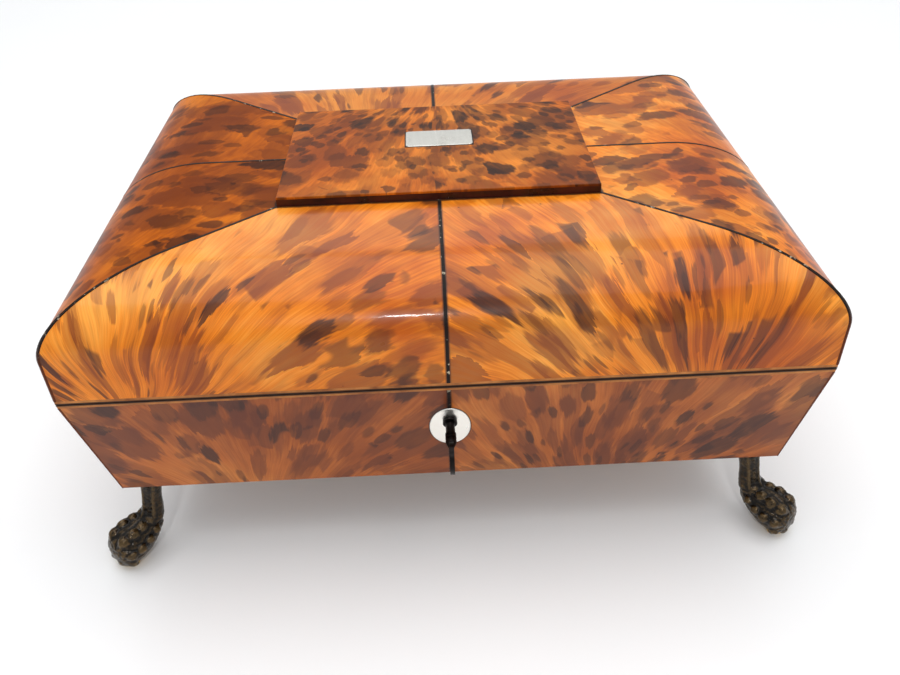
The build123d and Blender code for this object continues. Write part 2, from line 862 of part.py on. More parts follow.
middle_half = hinge_middle / 2
outer_spans = (
    (-hinge_length / 2, -middle_half - knuckle_gap),
    (middle_half + knuckle_gap, hinge_length / 2),
)
with BuildPart() as hinge_case_leaves:
    for hinge in (-hinge_place, hinge_place):
        add_leaf(hinge, seam_z - leaf_thickness, outer_spans)
    cut_knuckle_bores()
    cut_screw_holes(case_hinge_screws)
save(hinge_case_leaves, "hinge_case_leaves")

with BuildPart() as hinge_lid_leaves:
    for hinge in (-hinge_place, hinge_place):
        add_leaf(hinge, lid_foot_z, ((-middle_half, middle_half),))
    cut_knuckle_bores()
    cut_screw_holes(lid_hinge_screws)
save(hinge_lid_leaves, "hinge_lid_leaves")

with BuildPart() as hinge_pins:
    for hinge in (-hinge_place, hinge_place):
        with Locations(Location((hinge, hinge_y, hinge_z), (0, 90, 0))):
            Cylinder(hinge_pin_radius, hinge_length)
        for way in (-1, 1):
            head_x = hinge + way * (hinge_length / 2 + pin_head_length / 2)
            with Locations(Location((head_x, hinge_y, hinge_z), (0, 90, 0))):
                Cylinder(pin_head_radius, pin_head_length)
save(hinge_pins, "hinge_pins")

with BuildPart() as case_screws:
    add_screws(case_hinge_screws)
    add_screws(lock_screws)
save(case_screws, "case_screws")

with BuildPart() as lid_screws:
    add_screws(lid_hinge_screws)
    add_screws(link_screws)
save(lid_screws, "lid_screws")

# Lid rails: four mitred boards that stand on the case
for side in ("front", "back", "left", "right"):
    region = wall_wedge(side)
    with BuildPart() as rail:
        with BuildSketch(Plane.XY.offset(lid_foot_z)):
            Rectangle(seam_width - 2 * veneer, seam_depth - 2 * veneer)
            Rectangle(
                seam_width - 2 * veneer - 2 * lid_wall,
                seam_depth - 2 * veneer - 2 * lid_wall,
                mode=Mode.SUBTRACT,
            )
        extrude(amount=shoulder_z - lid_foot_z)
        add(region, mode=Mode.INTERSECT)
        if side == "front":
            span_box(
                (-link_half_width - leaf_clearance, link_y - link_width / 2 - leaf_clearance, seam_z),
                (
                    link_half_width + leaf_clearance,
                    link_y + link_width / 2 + leaf_clearance,
                    lid_foot_z + link_thickness,
                ),
                mode=Mode.SUBTRACT,
            )
            cut_screw_holes(link_screws)
        if side == "back":
            for hinge in (-hinge_place, hinge_place):
                span_box(
                    (hinge - notch_half_length, leaf_inner_y - leaf_clearance, seam_z),
                    (hinge + notch_half_length, reach, lid_foot_z + leaf_thickness),
                    mode=Mode.SUBTRACT,
                )
            cut_screw_holes(lid_hinge_screws)
    save(rail, f"lid_{side}_rail")

# Lid mouldings: four shaped timbers mitred along the hips
for side, (plane, run, arc_run) in side_planes.items():
    region = hip_wedge(side)
    with BuildPart() as moulding:
        extrude(moulding_section(plane, run, arc_run), amount=reach, both=True)
        add(region, mode=Mode.INTERSECT)
    save(moulding, f"lid_{side}_moulding")

with BuildPart() as lid_top_board:
    with BuildSketch(Plane.XY.offset(ceiling_z)):
        Rectangle(plateau_width, plateau_depth)
    extrude(amount=top_board_thickness)
save(lid_top_board, "lid_top_board")


# Tortoiseshell panels of the lid, with room for the strings between them
def build_lid_panel(label, side, half):
    """One side's panels: both halves (0), or the one to the left (-1) or right (1)."""
    plane, run, arc_run = side_planes[side]
    region = hip_wedge(side, string_width / 2)
    with BuildPart() as panel:
        section = cushion_section(plane, run, arc_run, veneer, 0, lid_foot_z + band_height)
        extrude(section, amount=reach, both=True)
        add(region, mode=Mode.INTERSECT)
        if side in ("front", "back"):
            span_box(
                (-string_width / 2, -reach, 0), (string_width / 2, reach, reach), mode=Mode.SUBTRACT
            )
        else:
            span_box(
                (-reach, -string_width / 2, 0), (reach, string_width / 2, reach), mode=Mode.SUBTRACT
            )
        if half != 0:
            split(bisect_by=Plane.YZ, keep=Keep.TOP if half > 0 else Keep.BOTTOM)
    save(panel, label)


build_lid_panel("lid_panel_front_left", "front", -1)
build_lid_panel("lid_panel_front_right", "front", 1)
build_lid_panel("lid_panels_back", "back", 0)
build_lid_panel("lid_panels_left", "left", 0)
build_lid_panel("lid_panels_right", "right", 0)

# Strings over the lid: four hips and the middle of each side
with BuildPart() as lid_strings:
    for plane in hip_planes:
        section = cushion_section(
            plane, hip_run, shoulder_run_hip, string_depth, string_proud, lid_foot_z + band_height
        )
        extrude(section, amount=string_width / 2, both=True)
    for plane, run, arc_run in side_planes.values():
        section = cushion_section(
            plane, run, arc_run, string_depth, string_proud, lid_foot_z + band_height
        )
        extrude(section, amount=string_width / 2, both=True)
save(lid_strings, "lid_strings")

# Raised plateau: a timber core, a dark edging and a tortoiseshell top with the cartouche
with BuildPart() as plateau_core:
    with BuildSketch(Plane.XY.offset(lid_flat_z - veneer)):
        Rectangle(plateau_width, plateau_depth)
    extrude(amount=veneer)
    with BuildSketch(Plane.XY.offset(lid_flat_z)):
        Rectangle(plateau_width - 2 * veneer, plateau_depth - 2 * veneer)
    extrude(amount=plateau_height - veneer)
save(plateau_core, "plateau_core")

with BuildPart() as plateau_edging:
    with BuildSketch(Plane.XY.offset(lid_flat_z)):
        Rectangle(plateau_width, plateau_depth)
        Rectangle(plateau_width - 2 * veneer, plateau_depth - 2 * veneer, mode=Mode.SUBTRACT)
    extrude(amount=plateau_height - veneer)
save(plateau_edging, "plateau_edging")

cartouche_floor_z = plateau_top_z + cartouche_proud - cartouche_thickness
with BuildPart() as plateau_panel:
    with BuildSketch(Plane.XY.offset(plateau_top_z - veneer)):
        Rectangle(plateau_width, plateau_depth)
    extrude(amount=veneer)
    fillet(plateau_panel.faces().sort_by(Axis.Z)[-1].edges(), veneer_edge_round)
    with BuildSketch(Plane.XY.offset(cartouche_floor_z)):
        with Locations((cartouche_shift, cartouche_setback)):
            RectangleRounded(
                cartouche_width + 2 * inlay_clearance,
                cartouche_depth + 2 * inlay_clearance,
                cartouche_corner + inlay_clearance,
            )
    extrude(amount=plateau_height, mode=Mode.SUBTRACT)
save(plateau_panel, "plateau_panel")

with BuildPart() as cartouche:
    with BuildSketch(Plane.XY.offset(cartouche_floor_z)):
        with Locations((cartouche_shift, cartouche_setback)):
            RectangleRounded(cartouche_width, cartouche_depth, cartouche_corner)
    extrude(amount=cartouche_thickness)
    fillet(cartouche.faces().sort_by(Axis.Z)[-1].edges(), cartouche_proud / 2)
save(cartouche, "cartouche")

# Padded silk panel under the lid
with BuildPart() as lid_pad:
    with BuildSketch(Plane.XY.offset(shoulder_z)):
        Rectangle(
            seam_width - 2 * (veneer + lid_wall + lid_pad_clearance),
            seam_depth - 2 * (veneer + lid_wall + lid_pad_clearance),
        )
    extrude(amount=-lid_pad_thickness)
    fillet(lid_pad.faces().sort_by(Axis.Z)[0].edges(), lid_pad_round)
save(lid_pad, "lid_pad")

# Link plate with its two hooks, screwed under the front rail
with BuildPart() as link_plate:
    span_box(
        (-link_half_width, link_y - link_width / 2, lid_foot_z),
        (link_half_width, link_y + link_width / 2, lid_foot_z + link_thickness),
    )
    for place in hook_places:
        hook_low = seam_z - hook_drop
        span_box(
            (place - hook_stem / 2, link_y - hook_thickness / 2, hook_low),
            (place + hook_stem / 2, link_y + hook_thickness / 2, lid_foot_z),
        )
        span_box(
            (place + hook_stem / 2, link_y - hook_thickness / 2, hook_low),
            (place + hook_stem / 2 + hook_reach, link_y + hook_thickness / 2, hook_low + hook_foot),
        )
    cut_screw_holes(link_screws)
save(link_plate, "link_plate")

# Lift-out tray with partitions, a pincushion and two lidded compartments
tray_floor_block = case_block(tray_foot_z, tray_floor_z, tray_inset)
with BuildPart() as tray_base:
    add(tray_floor_block)
save(tray_base, "tray_base")

tray_ring = case_ring(tray_floor_z, tray_top_z, tray_inset, tray_inner_inset)
with BuildPart() as tray_walls:
    add(tray_ring)
    with BuildSketch():
        corner_strips(glue_line)
    extrude(amount=reach, mode=Mode.SUBTRACT)
    with Locations((0, 0, tray_top_z)):
        Cylinder(grip_radius, 2 * reach, rotation=(0, 90, 0), mode=Mode.SUBTRACT)
save(tray_walls, "tray_walls")

# Partitions: two long boards and two short ones in each row, with strips for the two lids
partition_trim = case_block(tray_floor_z, tray_top_z, tray_inner_inset + glue_line)
row_edge = middle_row_depth / 2
board_edge = row_edge + partition_thickness
cell_edge = middle_cell_width / 2
with BuildPart() as tray_partitions:
    with BuildSketch(Plane.XY.offset(tray_floor_z)):
        for way in (-1, 1):
            with Locations((0, way * (row_edge + partition_thickness / 2))):
                Rectangle(2 * reach, partition_thickness)
            with Locations((way * (cell_edge + partition_thickness / 2), 0)):
                Rectangle(partition_thickness, middle_row_depth - 2 * glue_line)
            for row in (-1, 1):
                short_board_x = way * (outer_cell_width + partition_thickness) / 2
                with Locations((short_board_x, row * (board_edge + glue_line))):
                    Rectangle(
                        partition_thickness,
                        reach,
                        align=(Align.CENTER, Align.MIN if row > 0 else Align.MAX),
                    )
    extrude(amount=partition_top_z - tray_floor_z)
    for way in (-1, 1):
        for row in (-1, 1):
            with Locations((way * (cell_edge + partition_thickness), row * row_edge, tray_lid_z)):
                Box(
                    reach,
                    rest_strip,
                    rest_strip,
                    align=(
                        Align.MIN if way > 0 else Align.MAX,
                        Align.MAX if row > 0 else Align.MIN,
                        Align.MAX,
                    ),
                )
    add(partition_trim, mode=Mode.INTERSECT)
save(tray_partitions, "tray_partitions")

# Pincushion in the middle compartment: drawn in at the foot and crowned above the boards
cushion_x = middle_cell_width - 2 * pincushion_clearance
cushion_y = middle_row_depth - 2 * pincushion_clearance
cushion_waist_z = (tray_floor_z + partition_top_z) / 2
cushion_shoulder_z = partition_top_z - 2 * pincushion_crown
cushion_top_z = partition_top_z + pincushion_crown
with BuildPart() as pincushion:
    for height, draw_in in (
        (tray_floor_z, 2 * pincushion_waist),
        (cushion_waist_z, 0.0),
        (cushion_shoulder_z, pincushion_waist),
    ):
        with BuildSketch(Plane.XY.offset(height)):
            RectangleRounded(cushion_x - 2 * draw_in, cushion_y - 2 * draw_in, pincushion_corner)
    loft()
    for height, share in (
        (cushion_shoulder_z, 1.0),
        (partition_top_z, pincushion_shoulder_share),
        (cushion_top_z, pincushion_crown_share),
    ):
        with BuildSketch(Plane.XY.offset(height)):
            RectangleRounded(
                (cushion_x - 2 * pincushion_waist) * share,
                (cushion_y - 2 * pincushion_waist) * share,
                pincushion_corner * share,
            )
    loft()
save(pincushion, "pincushion")

# Two loose compartment lids, each with a turned knob whose tenon goes through the board
lid_board_low = cell_edge + partition_thickness + tray_lid_clearance
knob_x = (lid_board_low + case_half(tray_lid_z, tray_inner_inset)[0]) / 2
lid_board_high = case_half(tray_lid_z, tray_inner_inset + tray_lid_clearance)[0]
for way, name in ((-1, "left"), (1, "right")):
    knob_point = (way * knob_x, 0, tray_lid_z + tray_lid_thickness)
    with BuildPart() as tray_lid:
        with BuildSketch(Plane.XY.offset(tray_lid_z)):
            with Locations((way * (lid_board_low + lid_board_high) / 2, 0)):
                Rectangle(
                    lid_board_high - lid_board_low, middle_row_depth - 2 * tray_lid_clearance
                )
        extrude(amount=tray_lid_thickness)
        with Locations(knob_point):
            Cylinder(knob_tenon_radius + knob_clearance, 2 * tray_lid_thickness, mode=Mode.SUBTRACT)
    save(tray_lid, f"tray_lid_{name}")
    with BuildPart() as knob:
        with Locations(knob_point):
            Cylinder(knob_tenon_radius, tray_lid_thickness, align=hanging)
            Cone(knob_foot_radius, knob_neck_radius, knob_foot_height, align=standing)
            Cylinder(knob_neck_radius, knob_height - knob_radius, align=standing)
        with Locations(Vector(*knob_point) + Vector(0, 0, knob_height - knob_radius)):
            Sphere(knob_radius)
    save(knob, f"tray_knob_{name}")
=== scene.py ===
import math

import bmesh
import bpy
from mathutils import Euler, Matrix, Vector, noise


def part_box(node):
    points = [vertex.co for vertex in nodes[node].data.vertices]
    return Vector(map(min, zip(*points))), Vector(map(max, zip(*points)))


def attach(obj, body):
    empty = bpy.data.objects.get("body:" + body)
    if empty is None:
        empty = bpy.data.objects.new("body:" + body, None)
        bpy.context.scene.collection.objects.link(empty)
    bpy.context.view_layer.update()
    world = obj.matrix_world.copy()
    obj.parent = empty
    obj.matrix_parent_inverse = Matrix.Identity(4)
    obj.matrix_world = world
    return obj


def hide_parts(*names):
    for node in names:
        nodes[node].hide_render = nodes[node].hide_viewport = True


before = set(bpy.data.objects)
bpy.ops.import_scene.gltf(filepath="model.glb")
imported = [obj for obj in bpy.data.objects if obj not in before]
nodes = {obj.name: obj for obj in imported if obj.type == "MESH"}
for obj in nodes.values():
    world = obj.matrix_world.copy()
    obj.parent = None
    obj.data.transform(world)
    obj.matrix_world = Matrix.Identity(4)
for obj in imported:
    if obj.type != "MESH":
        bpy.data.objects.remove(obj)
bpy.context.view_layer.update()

# Sizes shared with the model, in metres
SEAM_Z = 0.092
LID_FOOT_Z = 0.0924
PLATEAU_HALF_X = 0.065
PLATEAU_HALF_Y = 0.044
CARTOUCHE_MIDDLE = (0.0014, 0.0065, 0.1398)
CARTOUCHE_HALF = (0.01475, 0.008)
ESCUTCHEON_HALF = (0.008, 0.0106)
ESCUTCHEON_Z = 0.06927
FOOT_X = 0.1265
FOOT_Y = 0.091
FOOT_HEIGHT = 0.037

X_AXIS = (1, 0, 0)
Y_AXIS = (0, 1, 0)
Z_AXIS = (0, 0, 1)

# Camera: place, turn and focal length that match the photograph
CAMERA_PLACE = Vector((-0.0029, -0.34976, 0.29599))
CAMERA_YAW = 0.01687
CAMERA_PITCH = 0.64455
CAMERA_ROLL = -0.03688
CAMERA_LENS = 34.0
CAMERA_SENSOR = 36.0


# Node helpers

class Shader:
    """A material's node tree with short calls for the nodes it uses."""

    def __init__(self, name):
        self.material = bpy.data.materials.new(name)
        self.material.use_nodes = True
        self.tree = self.material.node_tree
        self.tree.nodes.clear()
        output = self.tree.nodes.new("ShaderNodeOutputMaterial")
        self.surface = self.tree.nodes.new("ShaderNodeBsdfPrincipled")
        self.tree.links.new(self.surface.outputs[0], output.inputs[0])

    def put(self, value, socket):
        """Links a socket, or writes a number, vector or colour."""
        if isinstance(value, bpy.types.NodeSocket):
            self.tree.links.new(value, socket)
        elif isinstance(value, tuple) and socket.type == "RGBA" and len(value) == 3:
            socket.default_value = (*value, 1)
        else:
            socket.default_value = value

    def set(self, name, value):
        """Gives one of the surface's own inputs its value."""
        self.put(value, self.surface.inputs[name])

    def math(self, operation, *values, clamp=False):
        node = self.tree.nodes.new("ShaderNodeMath")
        node.operation = operation
        node.use_clamp = clamp
        for value, socket in zip(values, node.inputs):
            self.put(value, socket)
        return node.outputs[0]

    def vector(self, operation, *values):
        node = self.tree.nodes.new("ShaderNodeVectorMath")
        node.operation = operation
        sockets = [s for s in node.inputs if s.type == "VECTOR"]
        for value, socket in zip(values, sockets):
            self.put(value, socket)
        return node.outputs["Value" if operation == "DOT_PRODUCT" else "Vector"]

    def length(self, first, second):
        """How long a flat arrow is, from its two parts."""
        squares = [self.math("MULTIPLY", value, value) for value in (first, second)]
        return self.math("SQRT", self.math("ADD", *squares))

    def combine(self, x, y, z):
        node = self.tree.nodes.new("ShaderNodeCombineXYZ")
        for value, socket in zip((x, y, z), node.inputs):
            self.put(value, socket)
        return node.outputs[0]

    def place(self):
        return self.tree.nodes.new("ShaderNodeTexCoord").outputs["Object"]

    def along(self, place, axis):
        """The part of a place that lies along one axis."""
        return self.vector("DOT_PRODUCT", place, axis)

    def away(self, place, axis):
        """How far a place lies from the middle along one axis, on either side."""
        return self.math("ABSOLUTE", self.along(place, axis))

    def below(self, value, low, high):
        """1 below low, 0 above high, smooth between."""
        return self.math("SUBTRACT", 1.0, self.step(value, low, high))

    def noise(self, vector, scale, detail=4.0, roughness=0.55, distortion=0.0):
        """Clouds from 0 to 1, mostly near a half, so that steps on them lie around 0.5."""
        node = self.tree.nodes.new("ShaderNodeTexNoise")
        self.put(vector, node.inputs["Vector"])
        node.inputs["Scale"].default_value = scale
        node.inputs["Detail"].default_value = detail
        node.inputs["Roughness"].default_value = roughness
        node.inputs["Distortion"].default_value = distortion
        return node.outputs["Fac"]

    def voronoi(self, vector, scale, randomness=1.0):
        """The distance to the nearest of a set of scattered points, in cells."""
        node = self.tree.nodes.new("ShaderNodeTexVoronoi")
        self.put(vector, node.inputs["Vector"])
        node.inputs["Scale"].default_value = scale
        node.inputs["Randomness"].default_value = randomness
        return node.outputs["Distance"]

    def step(self, value, low, high):
        """0 below low, 1 above high, smooth between."""
        node = self.tree.nodes.new("ShaderNodeMapRange")
        node.interpolation_type = "SMOOTHSTEP"
        self.put(value, node.inputs["Value"])
        node.inputs["From Min"].default_value = low
        node.inputs["From Max"].default_value = high
        return node.outputs["Result"]

    def span(self, value, low, high):
        """0 to 1 mapped to low to high."""
        node = self.tree.nodes.new("ShaderNodeMapRange")
        self.put(value, node.inputs["Value"])
        node.inputs["To Min"].default_value = low
        node.inputs["To Max"].default_value = high
        return node.outputs["Result"]

    def mix(self, factor, first, second):
        """The node holds sockets for numbers, vectors and colours; 6, 7 and 2 are the colours."""
        node = self.tree.nodes.new("ShaderNodeMix")
        node.data_type = "RGBA"
        self.put(factor, node.inputs["Factor"])
        self.put(first, node.inputs[6])
        self.put(second, node.inputs[7])
        return node.outputs[2]

    def ramp(self, value, stops):
        """Colours blended between stops, each a place from 0 to 1 and its colour."""
        node = self.tree.nodes.new("ShaderNodeValToRGB")
        ramp = node.color_ramp
        while len(ramp.elements) < len(stops):
            ramp.elements.new(0.5)
        for element, (place, colour) in zip(ramp.elements, stops):
            element.position = place
            element.color = (*colour, 1)
        self.put(value, node.inputs["Fac"])
        return node.outputs["Color"]

    def bump(self, height, distance, strength):
        node = self.tree.nodes.new("ShaderNodeBump")
        node.inputs["Distance"].default_value = distance
        node.inputs["Strength"].default_value = strength
        self.put(height, node.inputs["Height"])
        self.set("Normal", node.outputs["Normal"])


def srgb(red, green, blue):
    """A colour picked as 0 to 255 screen values, as linear light."""
    out = []
    for value in (red, green, blue):
        value /= 255
        out.append(value / 12.92 if value <= 0.04045 else ((value + 0.055) / 1.055) ** 2.4)
    return tuple(out)


# Materials

LID_GROUND = (srgb(192, 90, 8), srgb(232, 130, 22), srgb(250, 166, 66))
LID_BROWN = srgb(120, 50, 16)
LID_DEEP = srgb(52, 24, 16)

# How far a dab's rim wanders, in cells, and how strongly dabs gather
DAB_WANDER = 0.55
DAB_GATHER = 1.7
# The chance at which every cell holds a dab, and how sharply the cells are told apart
DAB_ALL = 1.85
DAB_EDGE = 0.03
# How far the veneer's grain drifts from straight, in metres
GRAIN_DRIFT = 0.020


def dab_layer(s, flow, across, along, seed, share, cluster, small, large, soft=0.12):
    """Round-ended dabs laid along the flow, like strokes of a brush. Each cell of the pattern
    holds one dab or none: share says how many hold one, and cluster gathers them."""
    u, v, warp_u, warp_v = flow
    u = s.math("MULTIPLY_ADD", u, 1 / across, s.math("MULTIPLY", warp_u, DAB_WANDER))
    v = s.math("MULTIPLY_ADD", v, 1 / along, s.math("MULTIPLY", warp_v, DAB_WANDER))
    node = s.tree.nodes.new("ShaderNodeTexVoronoi")
    node.voronoi_dimensions = "2D"
    node.inputs["Scale"].default_value = 1.0
    node.inputs["Randomness"].default_value = 0.95
    drawn = s.combine(s.math("ADD", u, seed * 3.7), s.math("ADD", v, seed * 1.9), 0.0)
    s.put(drawn, node.inputs["Vector"])
    # each cell's colour is three draws: whether it holds a dab, the dab's size, its strength
    split = s.tree.nodes.new("ShaderNodeSeparateColor")
    s.put(node.outputs["Color"], split.inputs[0])
    held, size, strength = split.outputs
    radius = s.span(size, small, large)
    inside = s.step(s.math("SUBTRACT", radius, node.outputs["Distance"]), 0.0, soft)
    chance = s.math("MULTIPLY_ADD", cluster, DAB_GATHER, held)
    present = s.step(chance, DAB_ALL - share, DAB_ALL + DAB_EDGE - share)
    weight = s.span(strength, 0.5, 1.0)
    return s.math("MULTIPLY", s.math("MULTIPLY", inside, present), weight)


def tortoiseshell(name, middle, along, across=X_AXIS, seed=1.0, reach=0.10,
                  width=0.0065, length=0.020, share=0.5, dark_share=0.3,
                  ground=LID_GROUND, brown=LID_BROWN, deep=LID_DEEP, gloss=0.22, edges=()):
    """Veneer whose mottling fans out from a point: middle is that point, across and along
    are the directions of the panel's width and height, and reach is the usual distance from
    the point. Width and length are the size of one dab of colour. Ground holds three tones of
    the clear shell, and brown and deep are the mottling's."""
    low, mid, high = ground
    s = Shader(name)
    place = s.place()
    moved = s.vector("ADD", place, (seed * 0.31, seed * 0.17, seed * 0.23))
    offset = s.vector("SUBTRACT", place, tuple(middle))
    u = s.along(offset, tuple(across))
    v = s.along(offset, tuple(along))
    drift_u = s.math("SUBTRACT", s.noise(moved, 14, 2, 0.5), 0.5)
    drift_v = s.math("SUBTRACT", s.noise(s.vector("ADD", moved, (5, 2, 8)), 14, 2, 0.5), 0.5)
    u = s.math("MULTIPLY_ADD", drift_u, GRAIN_DRIFT, u)
    v = s.math("MULTIPLY_ADD", drift_v, GRAIN_DRIFT, v)
    angle = s.math("ARCTAN2", u, v)
    distance = s.length(u, v)
    side = s.math("MULTIPLY", angle, reach)
    strokes = s.combine(
        s.math("MULTIPLY", side, 1 / width), s.math("MULTIPLY", distance, 1 / length), seed)
    rag_u = s.noise(s.vector("MULTIPLY", strokes, (2.6, 1.3, 1)), 1.0, 3, 0.65)
    rag_u = s.math("SUBTRACT", rag_u, 0.5)
    rag_v = s.noise(s.vector("MULTIPLY", strokes, (3.4, 0.7, 3)), 1.0, 3, 0.65)
    rag_v = s.math("SUBTRACT", rag_v, 0.5)
    flow = (side, distance, rag_u, rag_v)
    cluster = s.noise(s.vector("MULTIPLY", moved, (1.0, 1.0, 0.8)), 24, 2, 0.5)
    other_cluster = s.noise(s.vector("ADD", moved, (3, 9, 4)), 30, 2, 0.5)
    hair = s.noise(s.vector("MULTIPLY", strokes, (9.0, 0.9, 1)), 1.0, 3, 0.6)
    fine = s.noise(s.vector("MULTIPLY", strokes, (26.0, 1.6, 1)), 1.0, 2, 0.6)

    cloud = s.noise(moved, 17, 3, 0.55)
    tone = s.math("MULTIPLY_ADD", cloud, 0.75, s.math("MULTIPLY", hair, 0.25))
    colour = s.ramp(tone, ((0.38, low), (0.50, mid), (0.62, high)))
    wash = s.noise(s.vector("MULTIPLY", strokes, (0.8, 0.45, 5)), 1.0, 3, 0.6)
    wash = s.math("MULTIPLY", s.step(wash, 0.44, 0.62), 0.30)
    colour = s.mix(wash, colour, brown)

    streaky = s.span(hair, 0.72, 1.2)
    # each layer: a dab's width and length, its draw, how many cells hold one, what gathers them,
    # the smallest and largest radius in cells, the tint and its strength
    layers = (
        (width * 1.5, length * 3.0, 1, share + 0.05, other_cluster, 0.24, 0.55, brown, 0.55),
        (width * 2.3, length * 1.6, 2, share, cluster, 0.26, 0.60, brown, 0.76),
        (width * 1.3, length * 1.2, 3, share, cluster, 0.24, 0.58, brown, 0.70),
        (width * 1.7, length * 1.2, 4, dark_share, cluster, 0.24, 0.56, deep, 0.90),
        (width * 0.9, length * 0.7, 5, dark_share - 0.05, cluster, 0.22, 0.50, deep, 0.74),
    )
    for wide, tall, number, many, gather, small, large, tint, strength in layers:
        dab = dab_layer(s, flow, wide, tall, seed + number, many, gather, small, large)
        dab = s.math("MULTIPLY", s.math("MULTIPLY", dab, streaky), strength, clamp=True)
        colour = s.mix(dab, colour, tint)
    colour = s.mix(s.math("MULTIPLY", s.step(fine, 0.50, 0.75), 0.16), colour, brown)

    # Small pits, and dark lines along the panel's edges: dirt with painted shade by the string and
    # the plateau, dark lines round the inlays
    pit = s.below(s.voronoi(moved, 120), 0.03, 0.055)
    pit = s.math("MULTIPLY", pit, s.step(s.noise(moved, 70, 1), 0.60, 0.66))
    colour = s.mix(s.math("MULTIPLY", pit, 0.8), colour, srgb(46, 24, 16))
    grime_and_shade = None
    for edge in edges:
        line = edge(s, place)
        grime_and_shade = line if grime_and_shade is None else s.math("MAXIMUM", grime_and_shade, line)
    # the edge lines darken the colour: dirt and painted shade beside the string and the plateau
    if grime_and_shade is not None:
        colour = s.mix(grime_and_shade, colour, srgb(30, 18, 14))
    s.set("Base Color", colour)

    wear = s.noise(place, 160, 4, 0.6)
    smear = s.noise(place, 20, 3, 0.5)
    rough = s.math("MULTIPLY_ADD", smear, 0.12, s.math("MULTIPLY", wear, 0.12))
    s.set("Roughness", s.math("ADD", rough, 0.20))
    s.set("Specular IOR Level", gloss)
    s.set("Coat Weight", gloss * 0.8)
    s.set("Coat Roughness", 0.07)
    height = s.math("MULTIPLY_ADD", smear, 0.6, s.math("MULTIPLY", wear, 0.10))
    height = s.math("SUBTRACT", height, s.math("MULTIPLY", pit, 0.5))
    s.bump(height, 0.0006, 0.30)
    return s.material


def middle_line(s, place):
    """Dirt and painted shade on both sides of the string at the middle."""
    return s.math("MULTIPLY", s.below(s.away(place, X_AXIS), 0.0006, 0.0014), 0.75)


def plateau_line(s, place):
    """Dirt and painted shade along the foot of the raised plateau."""
    x = s.math("SUBTRACT", s.away(place, X_AXIS), PLATEAU_HALF_X)
    y = s.math("SUBTRACT", s.away(place, Y_AXIS), PLATEAU_HALF_Y)
    rag = s.math("MULTIPLY", s.noise(place, 260, 3), 0.0012)
    distance = s.math("SUBTRACT", s.math("MAXIMUM", x, y), rag)
    return s.math("MULTIPLY", s.below(distance, 0.0, 0.0010), 0.9)


def escutcheon_line(s, place):
    """Dark filling round the escutcheon."""
    x = s.along(place, (1 / ESCUTCHEON_HALF[0], 0, 0))
    z = s.along(place, (0, 0, 1 / ESCUTCHEON_HALF[1]))
    z = s.math("SUBTRACT", z, ESCUTCHEON_Z / ESCUTCHEON_HALF[1])
    return s.math("MULTIPLY", s.below(s.length(x, z), 1.02, 1.06), 0.90)


def cartouche_line(s, place):
    """A dark line round the cartouche."""
    offset = s.vector("SUBTRACT", place, CARTOUCHE_MIDDLE)
    x = s.math("SUBTRACT", s.away(offset, X_AXIS), CARTOUCHE_HALF[0])
    y = s.math("SUBTRACT", s.away(offset, Y_AXIS), CARTOUCHE_HALF[1])
    return s.math("MULTIPLY", s.below(s.math("MAXIMUM", x, y), 0.0003, 0.0007), 0.95)


def string_material():
    """Dark stringing with a thread of bright metal that shows in short broken lengths. It
    turns brown where it runs down the corners."""
    s = Shader("dark string")
    place = s.place()
    broken = s.noise(place, 260, 3, 0.7)
    zones = s.noise(s.vector("ADD", place, (2.0, 5.0, 1.0)), 16, 1)
    metal = s.math("MULTIPLY", s.step(broken, 0.60, 0.64), s.step(zones, 0.44, 0.56))
    corner = s.step(s.away(place, X_AXIS), 0.120, 0.130)
    low = s.below(s.along(place, Z_AXIS), 0.108, 0.120)
    corner = s.math("MULTIPLY", corner, low)
    dark = s.mix(s.math("MULTIPLY", corner, 0.8), srgb(24, 13, 9), srgb(104, 50, 24))
    metal = s.math("MULTIPLY", metal, s.math("SUBTRACT", 1.0, corner))
    s.set("Base Color", s.mix(metal, dark, srgb(196, 184, 160)))
    s.set("Metallic", metal)
    s.set("Roughness", s.span(s.noise(place, 300), 0.30, 0.5))
    s.set("Specular IOR Level", 0.15)
    s.bump(s.noise(place, 420, 3), 0.0004, 0.6)
    return s.material


def metal_material(name, colour, tarnish, low, high, marks=260, amount=0.35):
    """A metal with soft tarnish, fine scratches and an uneven polish."""
    s = Shader(name)
    place = s.place()
    cloud = s.noise(place, 70, 4, 0.6)
    scratch = s.noise(s.vector("MULTIPLY", place, (marks, marks * 0.08, marks * 0.3)), 3.0, 3, 0.6)
    dull = s.math("MULTIPLY", s.step(cloud, 0.45, 0.75), amount)
    s.set("Base Color", s.mix(dull, colour, tarnish))
    s.set("Metallic", 1.0)
    uneven = s.math("MULTIPLY_ADD", scratch, 0.5, s.math("MULTIPLY", cloud, 0.5))
    s.set("Roughness", s.span(uneven, low, high))
    s.bump(scratch, 0.0002, 0.25)
    return s.material


def wood_material(name, light, dark, grain_axis, rings=60, gloss=0.5):
    """Plain timber with its grain along one axis of the box."""
    s = Shader(name)
    place = s.place()
    stretch = [rings, rings, rings]
    stretch[grain_axis] = rings * 0.07
    grain_place = s.vector("MULTIPLY", place, tuple(stretch))
    grain = s.noise(grain_place, 3.0, 5, 0.6, 0.4)
    pores = s.noise(s.vector("MULTIPLY", grain_place, (4.0, 4.0, 4.0)), 6.0, 3, 0.7)
    figure = s.noise(place, 14, 2)
    tone = s.math("MULTIPLY_ADD", figure, 0.35, s.math("MULTIPLY", grain, 0.65))
    colour = s.ramp(tone, ((0.34, dark), (0.66, light)))
    colour = s.mix(s.math("MULTIPLY", s.step(pores, 0.56, 0.68), 0.35), colour, dark)
    s.set("Base Color", colour)
    s.set("Roughness", s.span(grain, gloss - 0.08, gloss + 0.12))
    s.bump(s.math("MULTIPLY_ADD", pores, 0.5, grain), 0.0003, 0.4)
    return s.material


